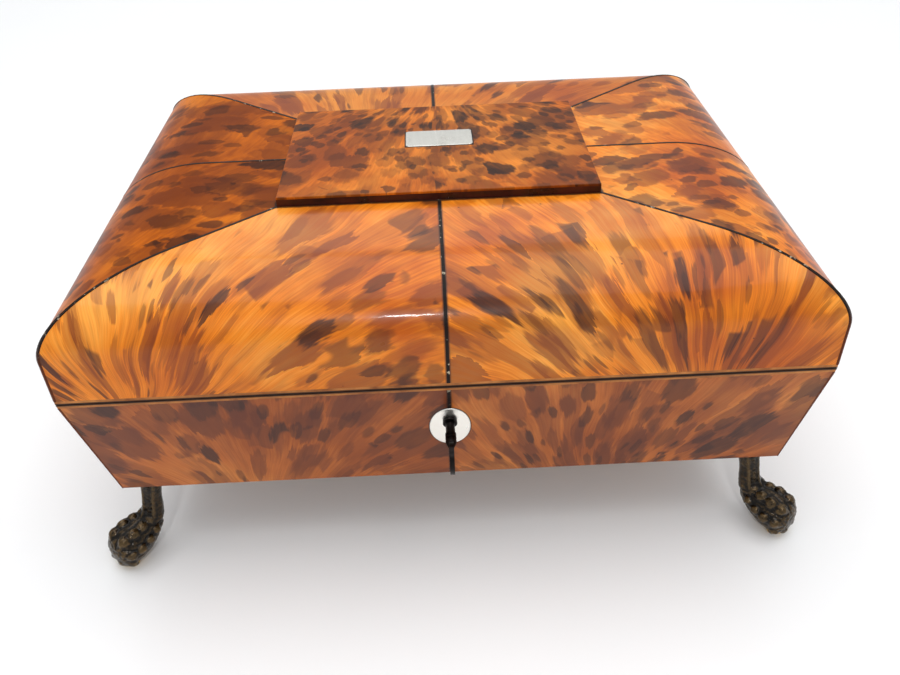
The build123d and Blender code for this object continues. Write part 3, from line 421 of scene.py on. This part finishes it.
def edging_material(name, light, dark, rough, shine=0.3, seam_shade=False):
    """Thin polished edging with worn places, and, when asked, painted shade in a dark line where
    the lid meets the case.
    """
    s = Shader(name)
    place = s.place()
    run = s.noise(s.vector("MULTIPLY", place, (60, 60, 500)), 1.0, 4, 0.6)
    wear = s.noise(place, 90, 4, 0.65)
    colour = s.ramp(s.math("MULTIPLY_ADD", wear, 0.6, s.math("MULTIPLY", run, 0.4)),
                    ((0.38, dark), (0.62, light)))
    if seam_shade:
        # painted shade: a dark line on the band beside the gap between lid and case
        height = s.math("SUBTRACT", s.along(place, Z_AXIS), (SEAM_Z + LID_FOOT_Z) / 2)
        distance = s.math("MULTIPLY_ADD", wear, -0.0003, s.math("ABSOLUTE", height))
        line = s.below(distance, 0.00045, 0.00075)
        colour = s.mix(s.math("MULTIPLY", line, 0.92), colour, srgb(26, 14, 9))
    s.set("Base Color", colour)
    s.set("Specular IOR Level", shine)
    s.set("Roughness", s.span(wear, rough, rough + 0.25))
    s.bump(s.noise(place, 350, 4), 0.0003, 0.5)
    return s.material


def bronze_material():
    """Near-black patina, worn to gold by rubbing on what stands proud; the gold on the knuckles is
    also painted highlight.
    """
    s = Shader("foot bronze")
    place = s.place()
    attribute = s.tree.nodes.new("ShaderNodeAttribute")
    attribute.attribute_name = "proud"
    proud = attribute.outputs["Fac"]
    cloud = s.noise(place, 300, 4, 0.65)
    patches = s.noise(place, 90, 2, 0.5)
    # gold where the bronze stands proud: wear from rubbing, and painted highlight on the knuckle
    # tops
    rubbed_and_highlit = s.step(s.math("MULTIPLY_ADD", cloud, 0.7, proud), 0.90, 1.16)
    rubbed_and_highlit = s.math("MULTIPLY", rubbed_and_highlit, s.step(patches, 0.42, 0.58))
    tip = s.below(s.along(place, Z_AXIS), 0.0022, 0.0046)
    rubbed_and_highlit = s.math("MAXIMUM", rubbed_and_highlit, s.math("MULTIPLY", tip, s.step(cloud, 0.42, 0.56)))
    hollow = s.step(proud, -0.6, 0.5)
    patina = s.ramp(s.math("MULTIPLY", s.math("ADD", hollow, cloud), 0.5),
                    ((0.25, srgb(10, 7, 5)), (0.50, srgb(24, 18, 12)), (0.78, srgb(92, 72, 42))))
    s.set("Base Color", s.mix(rubbed_and_highlit, patina, srgb(232, 196, 126)))
    s.set("Metallic", s.span(rubbed_and_highlit, 0.55, 1.0))
    s.set("Roughness", s.span(s.math("MULTIPLY_ADD", rubbed_and_highlit, -0.4, cloud), 0.14, 0.34))
    s.bump(s.math("MULTIPLY_ADD", s.noise(place, 900, 4), 0.4, cloud), 0.0002, 0.5)
    return s.material


def paper_material(name, colour, print_colour):
    """Old paper with a small repeated sprig and a fibrous surface."""
    s = Shader(name)
    place = s.place()
    fibre = s.noise(place, 900, 4, 0.7)
    stain = s.noise(place, 18, 4, 0.6)
    sprig = s.below(s.voronoi(place, 110, randomness=0.15), 0.12, 0.2)
    tint = s.mix(s.math("MULTIPLY", sprig, 0.5), colour, print_colour)
    stain = s.math("MULTIPLY", s.step(stain, 0.45, 0.8), 0.4)
    s.set("Base Color", s.mix(stain, tint, srgb(120, 84, 60)))
    s.set("Roughness", s.span(fibre, 0.75, 0.95))
    s.bump(fibre, 0.0002, 0.5)
    return s.material


def cloth_material(name, colour, shade, threads, sheen, sheen_colour, pile):
    """Woven silk, or velvet where pile is set."""
    s = Shader(name)
    place = s.place()
    warp = s.math("SINE", s.math("MULTIPLY", s.along(place, (1, 0, 0.4)), threads))
    weft = s.math("SINE", s.math("MULTIPLY", s.along(place, (0, 1, 0.4)), threads))
    weave = s.math("MULTIPLY", warp, weft)
    nap = s.noise(place, 500, 4, 0.7)
    fade = s.noise(place, 24, 4, 0.6)
    surface = nap if pile else s.math("MULTIPLY_ADD", weave, 0.25, s.math("MULTIPLY", nap, 0.3))
    lift = s.math("MULTIPLY_ADD", fade, 0.7, s.math("MULTIPLY", surface, 0.3))
    s.set("Base Color", s.mix(lift, shade, colour))
    s.set("Roughness", s.span(fade, 0.55, 0.85))
    s.set("Sheen Weight", sheen)
    s.set("Sheen Roughness", 0.4)
    s.set("Sheen Tint", (*sheen_colour, 1))
    s.bump(surface, 0.0003, 0.6)
    return s.material


def bone_material():
    """Turned bone with fine streaks along it."""
    s = Shader("bone")
    place = s.place()
    streak = s.noise(s.vector("MULTIPLY", place, (600, 600, 90)), 1.0, 4, 0.6)
    colour = s.ramp(streak, ((0.35, srgb(196, 180, 140)), (0.65, srgb(236, 226, 200))))
    s.set("Base Color", colour)
    s.set("Roughness", s.span(streak, 0.25, 0.4))
    s.set("Coat Weight", 0.3)
    s.bump(streak, 0.0002, 0.3)
    return s.material


def assign(material, *names):
    for name in names:
        mesh = nodes[name].data
        mesh.materials.clear()
        mesh.materials.append(material)


def unit(*parts):
    return Vector(parts).normalized()


LEFT_UP = unit(1, 0, 1)
RIGHT_UP = unit(-1, 0, 1)
FRONT_UP = unit(0, 1, 1)
BACK_UP = unit(0, -1, 1)
UPRIGHT = unit(0, 0, 1)

# Darker, more olive tones for the lid's left panels: painted shade for the dimmer light on the
# box's left side
LEFT_GROUND_WITH_PAINTED_SHADE = (srgb(148, 68, 1), srgb(188, 94, 2), srgb(214, 120, 8))
PLATEAU_GROUND = (srgb(160, 74, 8), srgb(200, 104, 20), srgb(226, 134, 42))
BACK_GROUND = (srgb(170, 80, 8), srgb(204, 110, 20), srgb(222, 138, 46))
# The case's tortoiseshell gets darker tones than the lid's: painted shade for the dimmer light on
# the case below the lid
case_look_with_painted_shade = dict(
    along=UPRIGHT, reach=0.07, ground=(srgb(150, 74, 22), srgb(182, 98, 36), srgb(202, 122, 52)),
    brown=srgb(90, 40, 22), deep=srgb(50, 24, 18),
)
case_edges = (middle_line, escutcheon_line)
lid_edges = (middle_line, plateau_line)

panels = {
    "lid_panel_front_left": dict(
        middle=(-0.121, -0.109, 0.0666), along=FRONT_UP, seed=1.3, share=0.50, dark_share=0.26,
        edges=lid_edges),
    "lid_panel_front_right": dict(
        middle=(0.098, -0.109, 0.0524), along=FRONT_UP, seed=5.1, length=0.026, share=0.58,
        dark_share=0.28, edges=lid_edges),
    "lid_panels_back": dict(
        middle=(-0.03, -0.02, 0.139), along=BACK_UP, seed=7.7, share=0.40, dark_share=0.12,
        ground=BACK_GROUND, gloss=0.15, edges=lid_edges),
    # darker tones here are painted shade for the box's dimmer left side
    "lid_panels_left": dict(
        middle=(-0.165, -0.20, 0.09), along=LEFT_UP, across=Y_AXIS, seed=9.2, reach=0.15,
        width=0.009, length=0.011, share=0.48, dark_share=0.42, ground=LEFT_GROUND_WITH_PAINTED_SHADE,
        brown=srgb(104, 42, 2), deep=srgb(50, 20, 4), gloss=0.04, edges=(plateau_line,)),
    "lid_panels_right": dict(
        middle=(0.19, -0.17, 0.10), along=RIGHT_UP, across=Y_AXIS, seed=3.4, reach=0.12,
        width=0.008, length=0.011, share=0.50, dark_share=0.48, deep=srgb(58, 26, 18),
        gloss=0.14, edges=(plateau_line,)),
    "plateau_panel": dict(
        middle=(0.0, 0.075, 0.139), along=Y_AXIS, seed=6.5, reach=0.09, width=0.0085,
        length=0.013, share=0.66, dark_share=0.60, ground=PLATEAU_GROUND,
        brown=srgb(90, 40, 14), deep=srgb(36, 20, 14), gloss=0.08, edges=(cartouche_line,)),
    "case_panel_front_left": dict(
        middle=(-0.076, -0.105, 0.002), seed=2.2, share=0.62, dark_share=0.30,
        edges=case_edges, **case_look_with_painted_shade),
    "case_panel_front_right": dict(
        middle=(0.057, -0.105, 0.002), seed=8.6, share=0.64, dark_share=0.34,
        edges=case_edges, **case_look_with_painted_shade),
    "case_panels_back": dict(
        middle=(0.03, 0.105, 0.0), seed=4.9, share=0.58, dark_share=0.30, **case_look_with_painted_shade),
    "case_panel_left": dict(
        middle=(-0.14, -0.03, 0.0), across=Y_AXIS, seed=11.1, share=0.58, dark_share=0.30,
        **case_look_with_painted_shade),
    "case_panel_right": dict(
        middle=(0.14, 0.04, 0.0), across=Y_AXIS, seed=12.4, share=0.58, dark_share=0.30,
        **case_look_with_painted_shade),
}
for node, look in panels.items():
    assign(tortoiseshell(f"tortoiseshell {node}", **look), node)

assign(string_material(), "lid_strings", "case_strings")
dark_edging = edging_material("dark edging", srgb(72, 22, 12), srgb(26, 9, 6), 0.18)
assign(dark_edging, "plateau_edging", "base_edging")
pale_band = edging_material(
    "pale band", srgb(200, 130, 66), srgb(128, 72, 34), 0.28, shine=0.2, seam_shade=True)
assign(pale_band, "case_band", "lid_band")
assign(metal_material("silver", srgb(226, 224, 216), srgb(150, 142, 128), 0.16, 0.36), "cartouche")
# A paler, less tarnished copy of the cartouche's silver for the escutcheon: painted light for its
# brighter look
silver_with_painted_light = metal_material(
    "silver with painted light", srgb(252, 250, 242), srgb(214, 204, 184), 0.20, 0.40, amount=0.2)
assign(silver_with_painted_light, "escutcheon")
assign(metal_material("key iron", srgb(34, 31, 30), srgb(18, 15, 14), 0.28, 0.5), "key")
brass = metal_material("lock brass", srgb(206, 168, 96), srgb(120, 82, 44), 0.22, 0.45)
assign(brass, "lock_case", "lock_plate", "lock_bolt", "link_plate", "hinge_case_leaves",
       "hinge_lid_leaves")
steel = metal_material("steel", srgb(150, 146, 140), srgb(92, 74, 60), 0.28, 0.5)
assign(steel, "lock_spring", "hinge_pins", "case_screws", "lid_screws")
carcase_light = srgb(168, 120, 76)
carcase_dark = srgb(112, 70, 40)
across_grain = wood_material("carcase along the front", carcase_light, carcase_dark, 0)
depth_grain = wood_material("carcase along the sides", carcase_light, carcase_dark, 1)
assign(across_grain, "bottom_board", "front_wall", "back_wall", "lid_front_rail", "lid_back_rail",
       "lid_front_moulding", "lid_back_moulding", "lid_top_board", "plateau_core")
assign(depth_grain, "left_wall", "right_wall", "lid_left_rail", "lid_right_rail",
       "lid_left_moulding", "lid_right_moulding")
tray_light = srgb(150, 78, 46)
tray_dark = srgb(88, 38, 22)
tray_wood = wood_material("tray mahogany", tray_light, tray_dark, 0, 90, 0.36)
assign(tray_wood, "tray_base", "tray_walls", "tray_partitions", "tray_lid_left", "tray_lid_right")
assign(wood_material("ledge wood", tray_light, tray_dark, 1, 90, 0.45), "tray_ledges")
assign(paper_material("lining paper", srgb(176, 122, 112), srgb(128, 70, 66)), "case_lining")
assign(bone_material(), "tray_knob_left", "tray_knob_right")
# Threads of the cloths, as the sine's turn in radians for each metre
WEAVE = 5200
velvet = cloth_material(
    "velvet", srgb(128, 26, 36), srgb(58, 10, 16), threads=WEAVE, sheen=0.8,
    sheen_colour=srgb(230, 150, 150), pile=True)
silk = cloth_material(
    "silk", srgb(206, 138, 126), srgb(150, 84, 78), threads=WEAVE, sheen=0.35,
    sheen_colour=srgb(250, 230, 220), pile=False)
bronze = bronze_material()


# New pieces

def new_piece(name, bm, material, smooth=True):
    mesh = bpy.data.meshes.new(name)
    bm.to_mesh(mesh)
    bm.free()
    for face in mesh.polygons:
        face.use_smooth = smooth
    mesh.materials.append(material)
    piece = bpy.data.objects.new(name, mesh)
    bpy.context.collection.objects.link(piece)
    return piece


def apply_modifiers(piece):
    """Keeps the shape that the piece's modifiers give it."""
    graph = bpy.context.evaluated_depsgraph_get()
    mesh = bpy.data.meshes.new_from_object(piece.evaluated_get(graph))
    old = piece.data
    piece.modifiers.clear()
    piece.data = mesh
    bpy.data.meshes.remove(old)
    for face in mesh.polygons:
        face.use_smooth = True


def add_lump(bm, middle, size, turn=Euler((0, 0, 0)), rings=10):
    """A ball stretched to size along its own axes, turned and put in place."""
    shape = Matrix.Diagonal((*size, 1))
    turn = turn.to_matrix().to_4x4()
    bmesh.ops.create_uvsphere(
        bm, u_segments=2 * rings, v_segments=rings, radius=1,
        matrix=Matrix.Translation(middle) @ turn @ shape,
    )


def between(sections, steps):
    """Sections of a swept form with smooth ones worked out between them."""
    out = []
    for i in range(len(sections) - 1):
        before = sections[max(i - 1, 0)]
        start, end = sections[i:i + 2]
        after = sections[min(i + 2, len(sections) - 1)]
        for step in range(steps):
            t = step / steps
            out.append(tuple(
                0.5 * (2 * q + (r - p) * t + (2 * p - 5 * q + 4 * r - s) * t * t
                       + (3 * q - 3 * r + s - p) * t ** 3)
                for p, q, r, s in zip(before, start, end, after)
            ))
    out.append(sections[-1])
    return out


# A point this far above the form around it counts as fully proud
PROUD_HEIGHT = 0.0006
# The leg's top is a disc that stays under the foot's full height
LEG_TOP = 0.0362
HAIRY_BELOW = 0.019
HAIR_DEPTH = 0.00030
LEG_HAIR_DEPTH = 0.00010
KNUCKLE_RADIUS = 0.00265
# The knuckles' middles lie at this share of the paw's radius
KNUCKLE_SPREAD = 0.90
PAW_FLATNESS = 0.94
TOE_REACH = 0.0266
TOE_SPREAD = 0.0066


def build_paw():
    """One foot as cast: its leg over the origin, its toes towards +X, the table at z = 0."""
    bm = bmesh.new()
    # the leg: distance outwards, height, thickness
    leg = (
        (0.0008, 0.0370, 0.0060), (0.0016, 0.0345, 0.0049), (0.0030, 0.0290, 0.0043),
        (0.0040, 0.0245, 0.0043), (0.0049, 0.0200, 0.0047), (0.0068, 0.0160, 0.0056),
    )
    for out_x, height, thick in between(leg, 10):
        add_lump(bm, (out_x, 0, min(height, LEG_TOP)), (thick, thick, 0.0016))
    # a raised ridge down the front of the leg and one down each side
    for turn in (0.0, 1.15, -1.15):
        for out_x, height, thick in between(leg[1:], 6):
            way = Vector((math.cos(turn), math.sin(turn), 0))
            spot = Vector((out_x, 0, height)) + way * thick * 0.86
            add_lump(bm, spot, (0.0011, 0.0011, 0.0020), rings=6)
    # the body of the paw: distance outwards, height, thickness
    body = (
        (0.0060, 0.0140, 0.0052), (0.0095, 0.0122, 0.0070), (0.0140, 0.0104, 0.0083),
        (0.0195, 0.0092, 0.0090), (0.0238, 0.0086, 0.0076),
    )
    rows = between(body, 6)
    for out_x, height, thick in rows:
        add_lump(bm, (out_x, 0, height), (0.0034, thick, thick * PAW_FLATNESS), rings=12)
    # toes: the turn of each round the paw, and its knuckles one after another
    for turn, size in ((-1.42, 0.86), (-0.50, 1.0), (0.50, 1.0), (1.42, 0.86)):
        for share, swell in ((0.22, 0.86), (0.44, 0.96), (0.66, 1.06), (0.86, 1.04)):
            out_x, height, thick = rows[round(share * (len(rows) - 1))]
            spread = thick * KNUCKLE_SPREAD
            rise = math.cos(turn) * spread * PAW_FLATNESS
            spot = Vector((out_x, math.sin(turn) * spread, height + rise))
            lump = KNUCKLE_RADIUS * size * swell
            add_lump(bm, spot, (lump * 1.12, lump, lump), Euler((turn, 0.25, 0)))
        side = math.sin(turn) * TOE_SPREAD
        reach_x = TOE_REACH - abs(side) * 0.62
        add_lump(bm, (reach_x - 0.0006, side, 0.0092), (0.0028, 0.0026 * size, 0.0031))
        add_lump(bm, (reach_x, side * 0.9, 0.0052), (0.0025, 0.0024 * size, 0.0030))
        claw = (0.0024, 0.0018 * size, 0.0022)
        add_lump(bm, (reach_x - 0.0014, side * 0.7, 0.0022), claw, rings=8)
    paw = new_piece("paw_pattern", bm, bronze)
    remesh = paw.modifiers.new("cast", "REMESH")
    remesh.mode = "VOXEL"
    remesh.voxel_size = 0.00042
    apply_modifiers(paw)
    bm = bmesh.new()
    bm.from_mesh(paw.data)
    axes = dict(use_axis_x=True, use_axis_y=True, use_axis_z=True)
    for _ in range(4):
        bmesh.ops.smooth_vert(bm, verts=bm.verts, factor=0.5, **axes)
    bm.normal_update()
    # hair and casting marks, finer on the leg
    for vert in bm.verts:
        amount = HAIR_DEPTH if vert.co.z < HAIRY_BELOW else LEG_HAIR_DEPTH
        strand = Vector((vert.co.x * 300, vert.co.y * 900, vert.co.z * 900))
        grain = noise.noise(vert.co * 1500)
        rise = noise.noise(strand) * amount + grain * amount * 0.5
        vert.co += vert.normal * rise
    # how proud each point stands of the form around it, for the bronze's gold wear and painted
    # highlights
    sharp = [vert.co.copy() for vert in bm.verts]
    for _ in range(14):
        bmesh.ops.smooth_vert(bm, verts=bm.verts, factor=0.6, **axes)
    proud = []
    for vert, place in zip(bm.verts, sharp):
        rise = (place - vert.co).dot(vert.normal) / PROUD_HEIGHT
        proud.append(max(-1.0, min(1.0, rise)))
    for vert, place in zip(bm.verts, sharp):
        vert.co = place
        vert.co.z = min(max(vert.co.z, 0.0), FOOT_HEIGHT)
    bm.to_mesh(paw.data)
    bm.free()
    layer = paw.data.attributes.new("proud", "FLOAT", "POINT")
    layer.data.foreach_set("value", proud)
    return paw


pattern = build_paw()
for name_y, way_y in (("front", -1), ("back", 1)):
    for name_x, way_x in (("left", -1), ("right", 1)):
        foot = bpy.data.objects.new(f"paw_foot_{name_y}_{name_x}", pattern.data.copy())
        bpy.context.collection.objects.link(foot)
        turn = Matrix.Rotation(math.atan2(way_y, way_x), 4, "Z")
        foot.data.transform(Matrix.Translation((way_x * FOOT_X, way_y * FOOT_Y, 0)) @ turn)
        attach(foot, "case")
        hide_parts(f"foot_{name_y}_{name_x}")
bpy.data.objects.remove(pattern)


def cushion_grid(name, low, high, pull, rows, columns, material, height):
    """A closed stuffed form between two corners. Height gives z for its underside or its top
    at a place of -1 to 1 each way, and pull draws the sides in between the corners."""
    bm = bmesh.new()
    low_x, low_y, _ = low
    high_x, high_y, _ = high
    layers = []
    for side in (0, 1):
        grid = []
        for j in range(rows + 1):
            line = []
            for i in range(columns + 1):
                a = 2 * i / columns - 1
                b = 2 * j / rows - 1
                draw_x = 1 - pull * (1 - b * b) * abs(a) ** 3
                draw_y = 1 - pull * (1 - a * a) * abs(b) ** 3
                x = (low_x + high_x) / 2 + (high_x - low_x) / 2 * a * draw_x
                y = (low_y + high_y) / 2 + (high_y - low_y) / 2 * b * draw_y
                line.append(bm.verts.new((x, y, height(side, a, b))))
            grid.append(line)
        layers.append(grid)
    for side, grid in enumerate(layers):
        for j in range(rows):
            for i in range(columns):
                loop = [grid[j][i], grid[j][i + 1], grid[j + 1][i + 1], grid[j + 1][i]]
                bm.faces.new(loop if side else loop[::-1])
    rim = [(0, i) for i in range(columns)] + [(j, columns) for j in range(rows)]
    rim += [(rows, i) for i in range(columns, 0, -1)] + [(j, 0) for j in range(rows, 0, -1)]
    under, top = layers
    for (j, i), (next_j, next_i) in zip(rim, rim[1:] + rim[:1]):
        bm.faces.new((under[j][i], under[next_j][next_i], top[next_j][next_i], top[j][i]))
    bmesh.ops.recalc_face_normals(bm, faces=bm.faces)
    piece = new_piece(name, bm, material)
    smooth = piece.modifiers.new("soft", "SUBSURF")
    smooth.levels = 1
    smooth.render_levels = 1
    return piece


# Pincushion: stuffed velvet in its compartment
PINCUSHION_SIDE = 0.0070
PINCUSHION_CROWN = 0.0068
low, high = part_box("pincushion")


def pincushion_height(side, a, b):
    fall = (1 - abs(a) ** 6) * (1 - abs(b) ** 6)
    if side == 0:
        return low[2]
    uneven = 0.0003 * noise.noise(Vector((a * 3, b * 2, 1)))
    return high[2] - PINCUSHION_SIDE + PINCUSHION_CROWN * fall ** 0.6 + uneven


cushion = cushion_grid(
    "stuffed_pincushion", low, high, pull=0.015, rows=28, columns=40, material=velvet,
    height=pincushion_height,
)
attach(cushion, "tray")
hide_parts("pincushion")

# Padded silk panel in the lid, drawn down by stitches in diagonal rows
PAD_BOARD = 0.0012
PAD_STITCHED = 0.0003
PAD_SWELL = 0.0019
STITCHES_ACROSS = 4.5
STITCHES_ALONG = 3.0
pad_low, pad_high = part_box("lid_pad")


def pad_height(side, a, b):
    if side == 1:
        return pad_high[2]
    edge = (1 - abs(a) ** 14) * (1 - abs(b) ** 14)
    p = a * STITCHES_ACROSS + b * STITCHES_ALONG
    q = a * STITCHES_ACROSS - b * STITCHES_ALONG
    swell = abs(math.sin(math.pi * p / 2) * math.sin(math.pi * q / 2)) ** 0.45
    wrinkle = 0.00025 * noise.noise(Vector((a * 14, b * 10, 3)))
    return pad_high[2] - PAD_BOARD - (PAD_STITCHED + PAD_SWELL * swell) * edge - wrinkle * edge


pad = cushion_grid(
    "quilted_lid_pad", pad_low, pad_high, pull=0.0, rows=84, columns=112, material=silk,
    height=pad_height,
)
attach(pad, "lid")
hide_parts("lid_pad")

# Soft edges on the sharp pieces of the model
for name, width in (
    ("plateau_edging", 0.0002), ("lid_band", 0.00025), ("case_band", 0.00025),
    ("tray_walls", 0.0005), ("tray_partitions", 0.0004), ("tray_lid_left", 0.0005),
    ("tray_lid_right", 0.0005), ("tray_base", 0.0003), ("link_plate", 0.0002), ("key", 0.0002),
):
    bevel = nodes[name].modifiers.new("soft edges", "BEVEL")
    bevel.width = width
    bevel.segments = 2
    bevel.limit_method = "ANGLE"
    bevel.angle_limit = math.radians(40)
    bevel.harden_normals = False

# Floor, light and camera
floor_shader = Shader("floor")
floor_place = floor_shader.place()
floor_tone = floor_shader.noise(floor_place, 3, 3)
floor_colour = floor_shader.mix(floor_tone, srgb(243, 244, 244), srgb(248, 248, 248))
floor_wear = floor_shader.noise(floor_place, 30)
floor_shader.set("Base Color", floor_colour)
floor_shader.set("Roughness", floor_shader.span(floor_wear, 0.45, 0.6))
bm = bmesh.new()
bmesh.ops.create_grid(bm, x_segments=8, y_segments=8, size=6)
floor = new_piece("floor", bm, floor_shader.material, smooth=False)


def add_light(name, place, size_x, size_y, power):
    """A flat lamp that faces the box."""
    lamp = bpy.data.lights.new(name, "AREA")
    lamp.shape = "RECTANGLE"
    lamp.size = size_x
    lamp.size_y = size_y
    lamp.energy = power
    holder = bpy.data.objects.new(name, lamp)
    holder.location = place
    ray = Vector((0, 0, 0.1)) - Vector(place)
    holder.rotation_euler = ray.to_track_quat("-Z", "Y").to_euler()
    bpy.context.collection.objects.link(holder)


add_light("ceiling", (0.05, 0.10, 1.9), 2.4, 1.8, 26)
add_light("window", (0.1, 2.1, 1.75), 1.9, 0.85, 6.2)
add_light("lamp", (-0.055, -1.07, 0.91), 0.09, 0.05, 2.6)

world = bpy.data.worlds.new("studio")
bpy.context.scene.world = world
world.use_nodes = True
world_tree = world.node_tree
background = world_tree.nodes["Background"]
sky_place = world_tree.nodes.new("ShaderNodeTexCoord")
sky_split = world_tree.nodes.new("ShaderNodeSeparateXYZ")
sky_ramp = world_tree.nodes.new("ShaderNodeValToRGB")
world_tree.links.new(sky_place.outputs["Generated"], sky_split.inputs[0])
world_tree.links.new(sky_split.outputs["Z"], sky_ramp.inputs["Fac"])
horizon, zenith = sky_ramp.color_ramp.elements
horizon.color = (0.76, 0.77, 0.78, 1)
horizon.position = 0.05
zenith.color = (0.95, 0.97, 1.0, 1)
zenith.position = 0.75
world_tree.links.new(sky_ramp.outputs["Color"], background.inputs["Color"])
background.inputs["Strength"].default_value = 0.64

camera_data = bpy.data.cameras.new("camera")
camera_data.lens = CAMERA_LENS
camera_data.sensor_width = CAMERA_SENSOR
camera_data.clip_start = 0.01
camera = bpy.data.objects.new("camera", camera_data)
bpy.context.collection.objects.link(camera)
forward = Vector((
    math.sin(CAMERA_YAW) * math.cos(CAMERA_PITCH),
    math.cos(CAMERA_YAW) * math.cos(CAMERA_PITCH),
    -math.sin(CAMERA_PITCH),
))
level = Vector((math.cos(CAMERA_YAW), -math.sin(CAMERA_YAW), 0))
upright = level.cross(forward)
right = level * math.cos(CAMERA_ROLL) + upright * math.sin(CAMERA_ROLL)
up = -level * math.sin(CAMERA_ROLL) + upright * math.cos(CAMERA_ROLL)
turn = Matrix((right, up, -forward)).transposed().to_4x4()
camera.matrix_world = Matrix.Translation(CAMERA_PLACE) @ turn
bpy.context.scene.camera = camera
bpy.context.scene.view_settings.view_transform = "Standard"
